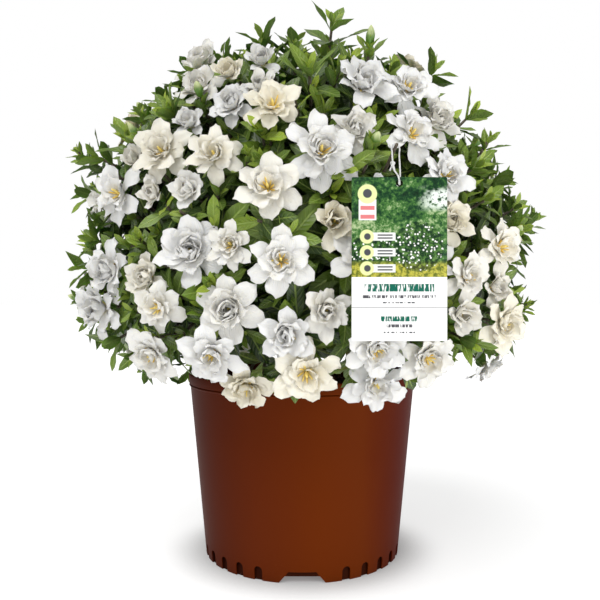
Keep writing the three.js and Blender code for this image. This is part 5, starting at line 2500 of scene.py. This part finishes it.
@dataclass
class Tag:
    """The hanging plant tag and the elastic that holds it."""

    shift: Vector
    width: float = 70.0
    height: float = 120.0
    thick: float = 0.8
    corner: float = 1.2
    hole: float = 2.6
    hole_down: float = 4.5
    x: float = 67.8
    y: float = -243.0
    top: float = 354.0
    radius: float = 0.6
    half: float = 2.7
    knot: float = 1.5
    twig: float = 1.5
    gap: float = 0.35

    def build(self) -> None:
        """Builds and dresses the card and its elastic."""
        self._build_card()
        self._build_elastic()

    def _build_card(self) -> None:
        """Builds the card with its round corners and its hole."""
        x, y, top = self.x + self.shift.x, self.y + self.shift.y, self.top
        middle = (x, y + self.thick / 2.0, top - self.height / 2.0)
        bpy.ops.mesh.primitive_cube_add(size=1.0, location=[c * MM for c in middle])
        piece = named("plant_tag_card")
        piece.scale = (self.width * MM, self.thick * MM, self.height * MM)
        settle(piece)
        with editing(piece, "EDGE"):
            shape = bmesh.from_edit_mesh(piece.data)
            for edge in shape.edges:
                along = edge.verts[0].co - edge.verts[1].co
                edge.select_set(abs(along.y) > 0.5 * self.thick * MM)
            bmesh.update_edit_mesh(piece.data)
            bpy.ops.mesh.bevel(offset=self.corner * MM, segments=4, affect="EDGES")
        bpy.ops.mesh.primitive_cylinder_add(
            vertices=28,
            radius=self.hole * MM,
            depth=0.02,
            location=[c * MM for c in (x, y, top - self.hole_down)],
            rotation=(math.pi / 2.0, 0.0, 0.0),
        )
        punch = named("punch")
        settle(punch)
        apply_modifier(piece, "BOOLEAN", operation="DIFFERENCE", object=punch, solver="EXACT")
        bpy.data.objects.remove(punch)
        apply_modifier(piece, "BEVEL", width=0.12 * MM, segments=2, limit_method="ANGLE")
        left = x - self.width / 2.0
        finish = CardFinish(left, left + self.width, top - self.height, top)
        dressed(piece, finish.make(), ["plant_tag"], sharp=30.0)

    def _route(self) -> list[Vector]:
        """Draws the elastic's route: from the knot over the twig, through the hole and back.

        Returns:
            Its points, the knot first.
        """
        x, y, z = PEG
        over = self.twig + self.gap + self.radius + 0.2
        card = self.y + self.thick / 2.0
        hole = self.top - self.hole_down
        knot = Vector((x - self.half, mix(y, card, 0.4) - 1.0, mix(z, hole, 0.45)))
        between = [
            (x - self.half, y - 0.5, z - 4.0),
            (x - self.half, y, z),
            (x, y, z + over),
            (x + self.half, y, z),
            (x + self.half, y, z - 5.0),
            (x + self.half, mix(y, card, 0.5) + 1.5, mix(z, hole, 0.5)),
            (self.x + 0.8, card + 2.0, hole + 4.0),
            (self.x, card, hole - 0.8),
            (self.x - 0.8, card - 2.0, hole + 4.0),
            (x - self.half, mix(y, card, 0.7) - 2.0, mix(z, hole, 0.62)),
        ]
        return [knot, *map(Vector, between), knot + Vector((0.3, 0.0, -0.4))]

    def _build_elastic(self) -> None:
        """Builds the loop of elastic, with its knot and two short ends."""
        route = self._route()
        curve = new_curve("tag_elastic", self.radius, 3)
        curve.resolution_u = 8
        self._strand(curve, route)
        knot = route[0]
        for end in (Vector((-2.4, -1.6, -6.0)), Vector((1.2, -2.2, -6.5))):
            self._strand(curve, [knot, knot + end * 0.5 + Vector((0.0, -0.8, 0.0)), knot + end])
        wide, tall = self.knot * 0.8, self.knot * 0.7
        turns = [
            knot + Vector((wide * math.cos(a), tall * math.sin(a), 0.9 * math.sin(2 * a)))
            for a in np.linspace(0.0, 4.0 * math.pi, 15)
        ]
        self._strand(curve, turns)
        dressed(meshed(curve), ElasticFinish().make(), ["tag_string"])

    def _strand(self, curve: bpy.types.Curve, points: Sequence[Vector]) -> None:
        """Adds a smooth strand to the elastic.

        Args:
            curve: The elastic's curve.
            points: The points that the strand goes through.
        """
        spline = curve.splines.new("BEZIER")
        spline.bezier_points.add(len(points) - 1)
        for knot, point in zip(spline.bezier_points, points):
            knot.co = (point + self.shift) * MM
            knot.handle_left_type = knot.handle_right_type = "AUTO"


# ---- the studio


@dataclass(frozen=True)
class Studio:
    """The camera, the floor and the soft light."""

    eye: Triple = (-0.0021, -0.760, 0.264)
    lens: float = 42.5
    sensor: float = 36.0
    ambient: float = 0.42
    key: float = 2.2
    soft: float = 50.0
    side: float = 2.5

    def camera(self) -> None:
        """Places the level camera at the photograph's viewing angle."""
        bpy.ops.object.camera_add(location=self.eye, rotation=(math.pi / 2.0, 0.0, 0.0))
        camera = bpy.context.object
        camera.name = "photo_camera"
        camera.data.lens = self.lens
        camera.data.sensor_width = self.sensor
        camera.data.sensor_fit = "HORIZONTAL"
        camera.data.clip_start = 0.05
        bpy.context.scene.camera = camera

    def floor(self) -> None:
        """Lays the pale floor."""
        bpy.ops.mesh.primitive_plane_add(size=60.0)
        floor = named("studio_floor")
        floor.data.materials.append(FloorFinish().make())

    def light(self) -> None:
        """Sets a soft light at the upper left, a weak one low at the right, and a white room."""
        scene = bpy.context.scene
        scene.view_settings.view_transform = "Standard"
        world = bpy.data.worlds.new("pale_room")
        scene.world = world
        world.use_nodes = True
        tree = world.node_tree
        background = tree.nodes["Background"]
        path = tree.nodes.new("ShaderNodeLightPath")
        strength = tree.nodes.new("ShaderNodeMapRange")
        strength.inputs["To Min"].default_value = self.ambient
        strength.inputs["To Max"].default_value = 1.0
        tree.links.new(path.outputs["Is Camera Ray"], strength.inputs["Value"])
        tree.links.new(strength.outputs["Result"], background.inputs["Strength"])
        background.inputs["Color"].default_value = (1.0, 1.0, 1.0, 1.0)
        soft = math.radians(self.soft)
        heading = Vector((0.40, 0.62, -1.0))
        self._lamp("SUN", "key_light", Vector(), heading, energy=self.key, angle=soft)
        place = Vector((0.62, -0.72, 0.20))
        heading = Vector((0.0, 0.0, 0.10)) - place
        self._lamp("AREA", "side_light", place, heading, energy=self.side, size=0.35)

    @staticmethod
    def _lamp(kind: str, name: str, place: Vector, heading: Vector, **settings: float) -> None:
        """Adds a light.

        Args:
            kind: Its type.
            name: Its name.
            place: Where it is.
            heading: The way that it shines.
            settings: Its strength and its size.
        """
        turn = heading.to_track_quat("-Z", "Y").to_euler()
        bpy.ops.object.light_add(type=kind, location=place, rotation=turn)
        light = bpy.context.object
        light.name = name
        for key, value in settings.items():
            setattr(light.data, key, value)


def main() -> None:
    """Builds the whole scene in order."""
    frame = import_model()
    bpy.ops.object.select_all(action="DESELECT")
    logging.basicConfig(level=logging.INFO, format="%(name)s: %(message)s")
    LOG.info("solids: %d", len(frame["nodes"]))
    studio = Studio()
    studio.camera()

    low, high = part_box("trunk")
    middle = (low + high) / 2.0 / MM
    shift = Vector((middle.x, middle.y, 0.0))
    Plant(shift).build()
    pot = Pot()
    pot.build()
    BarkMix(pot).build()
    Tag(shift).build()
    studio.floor()
    studio.light()


if __name__ == "__main__":
    main()
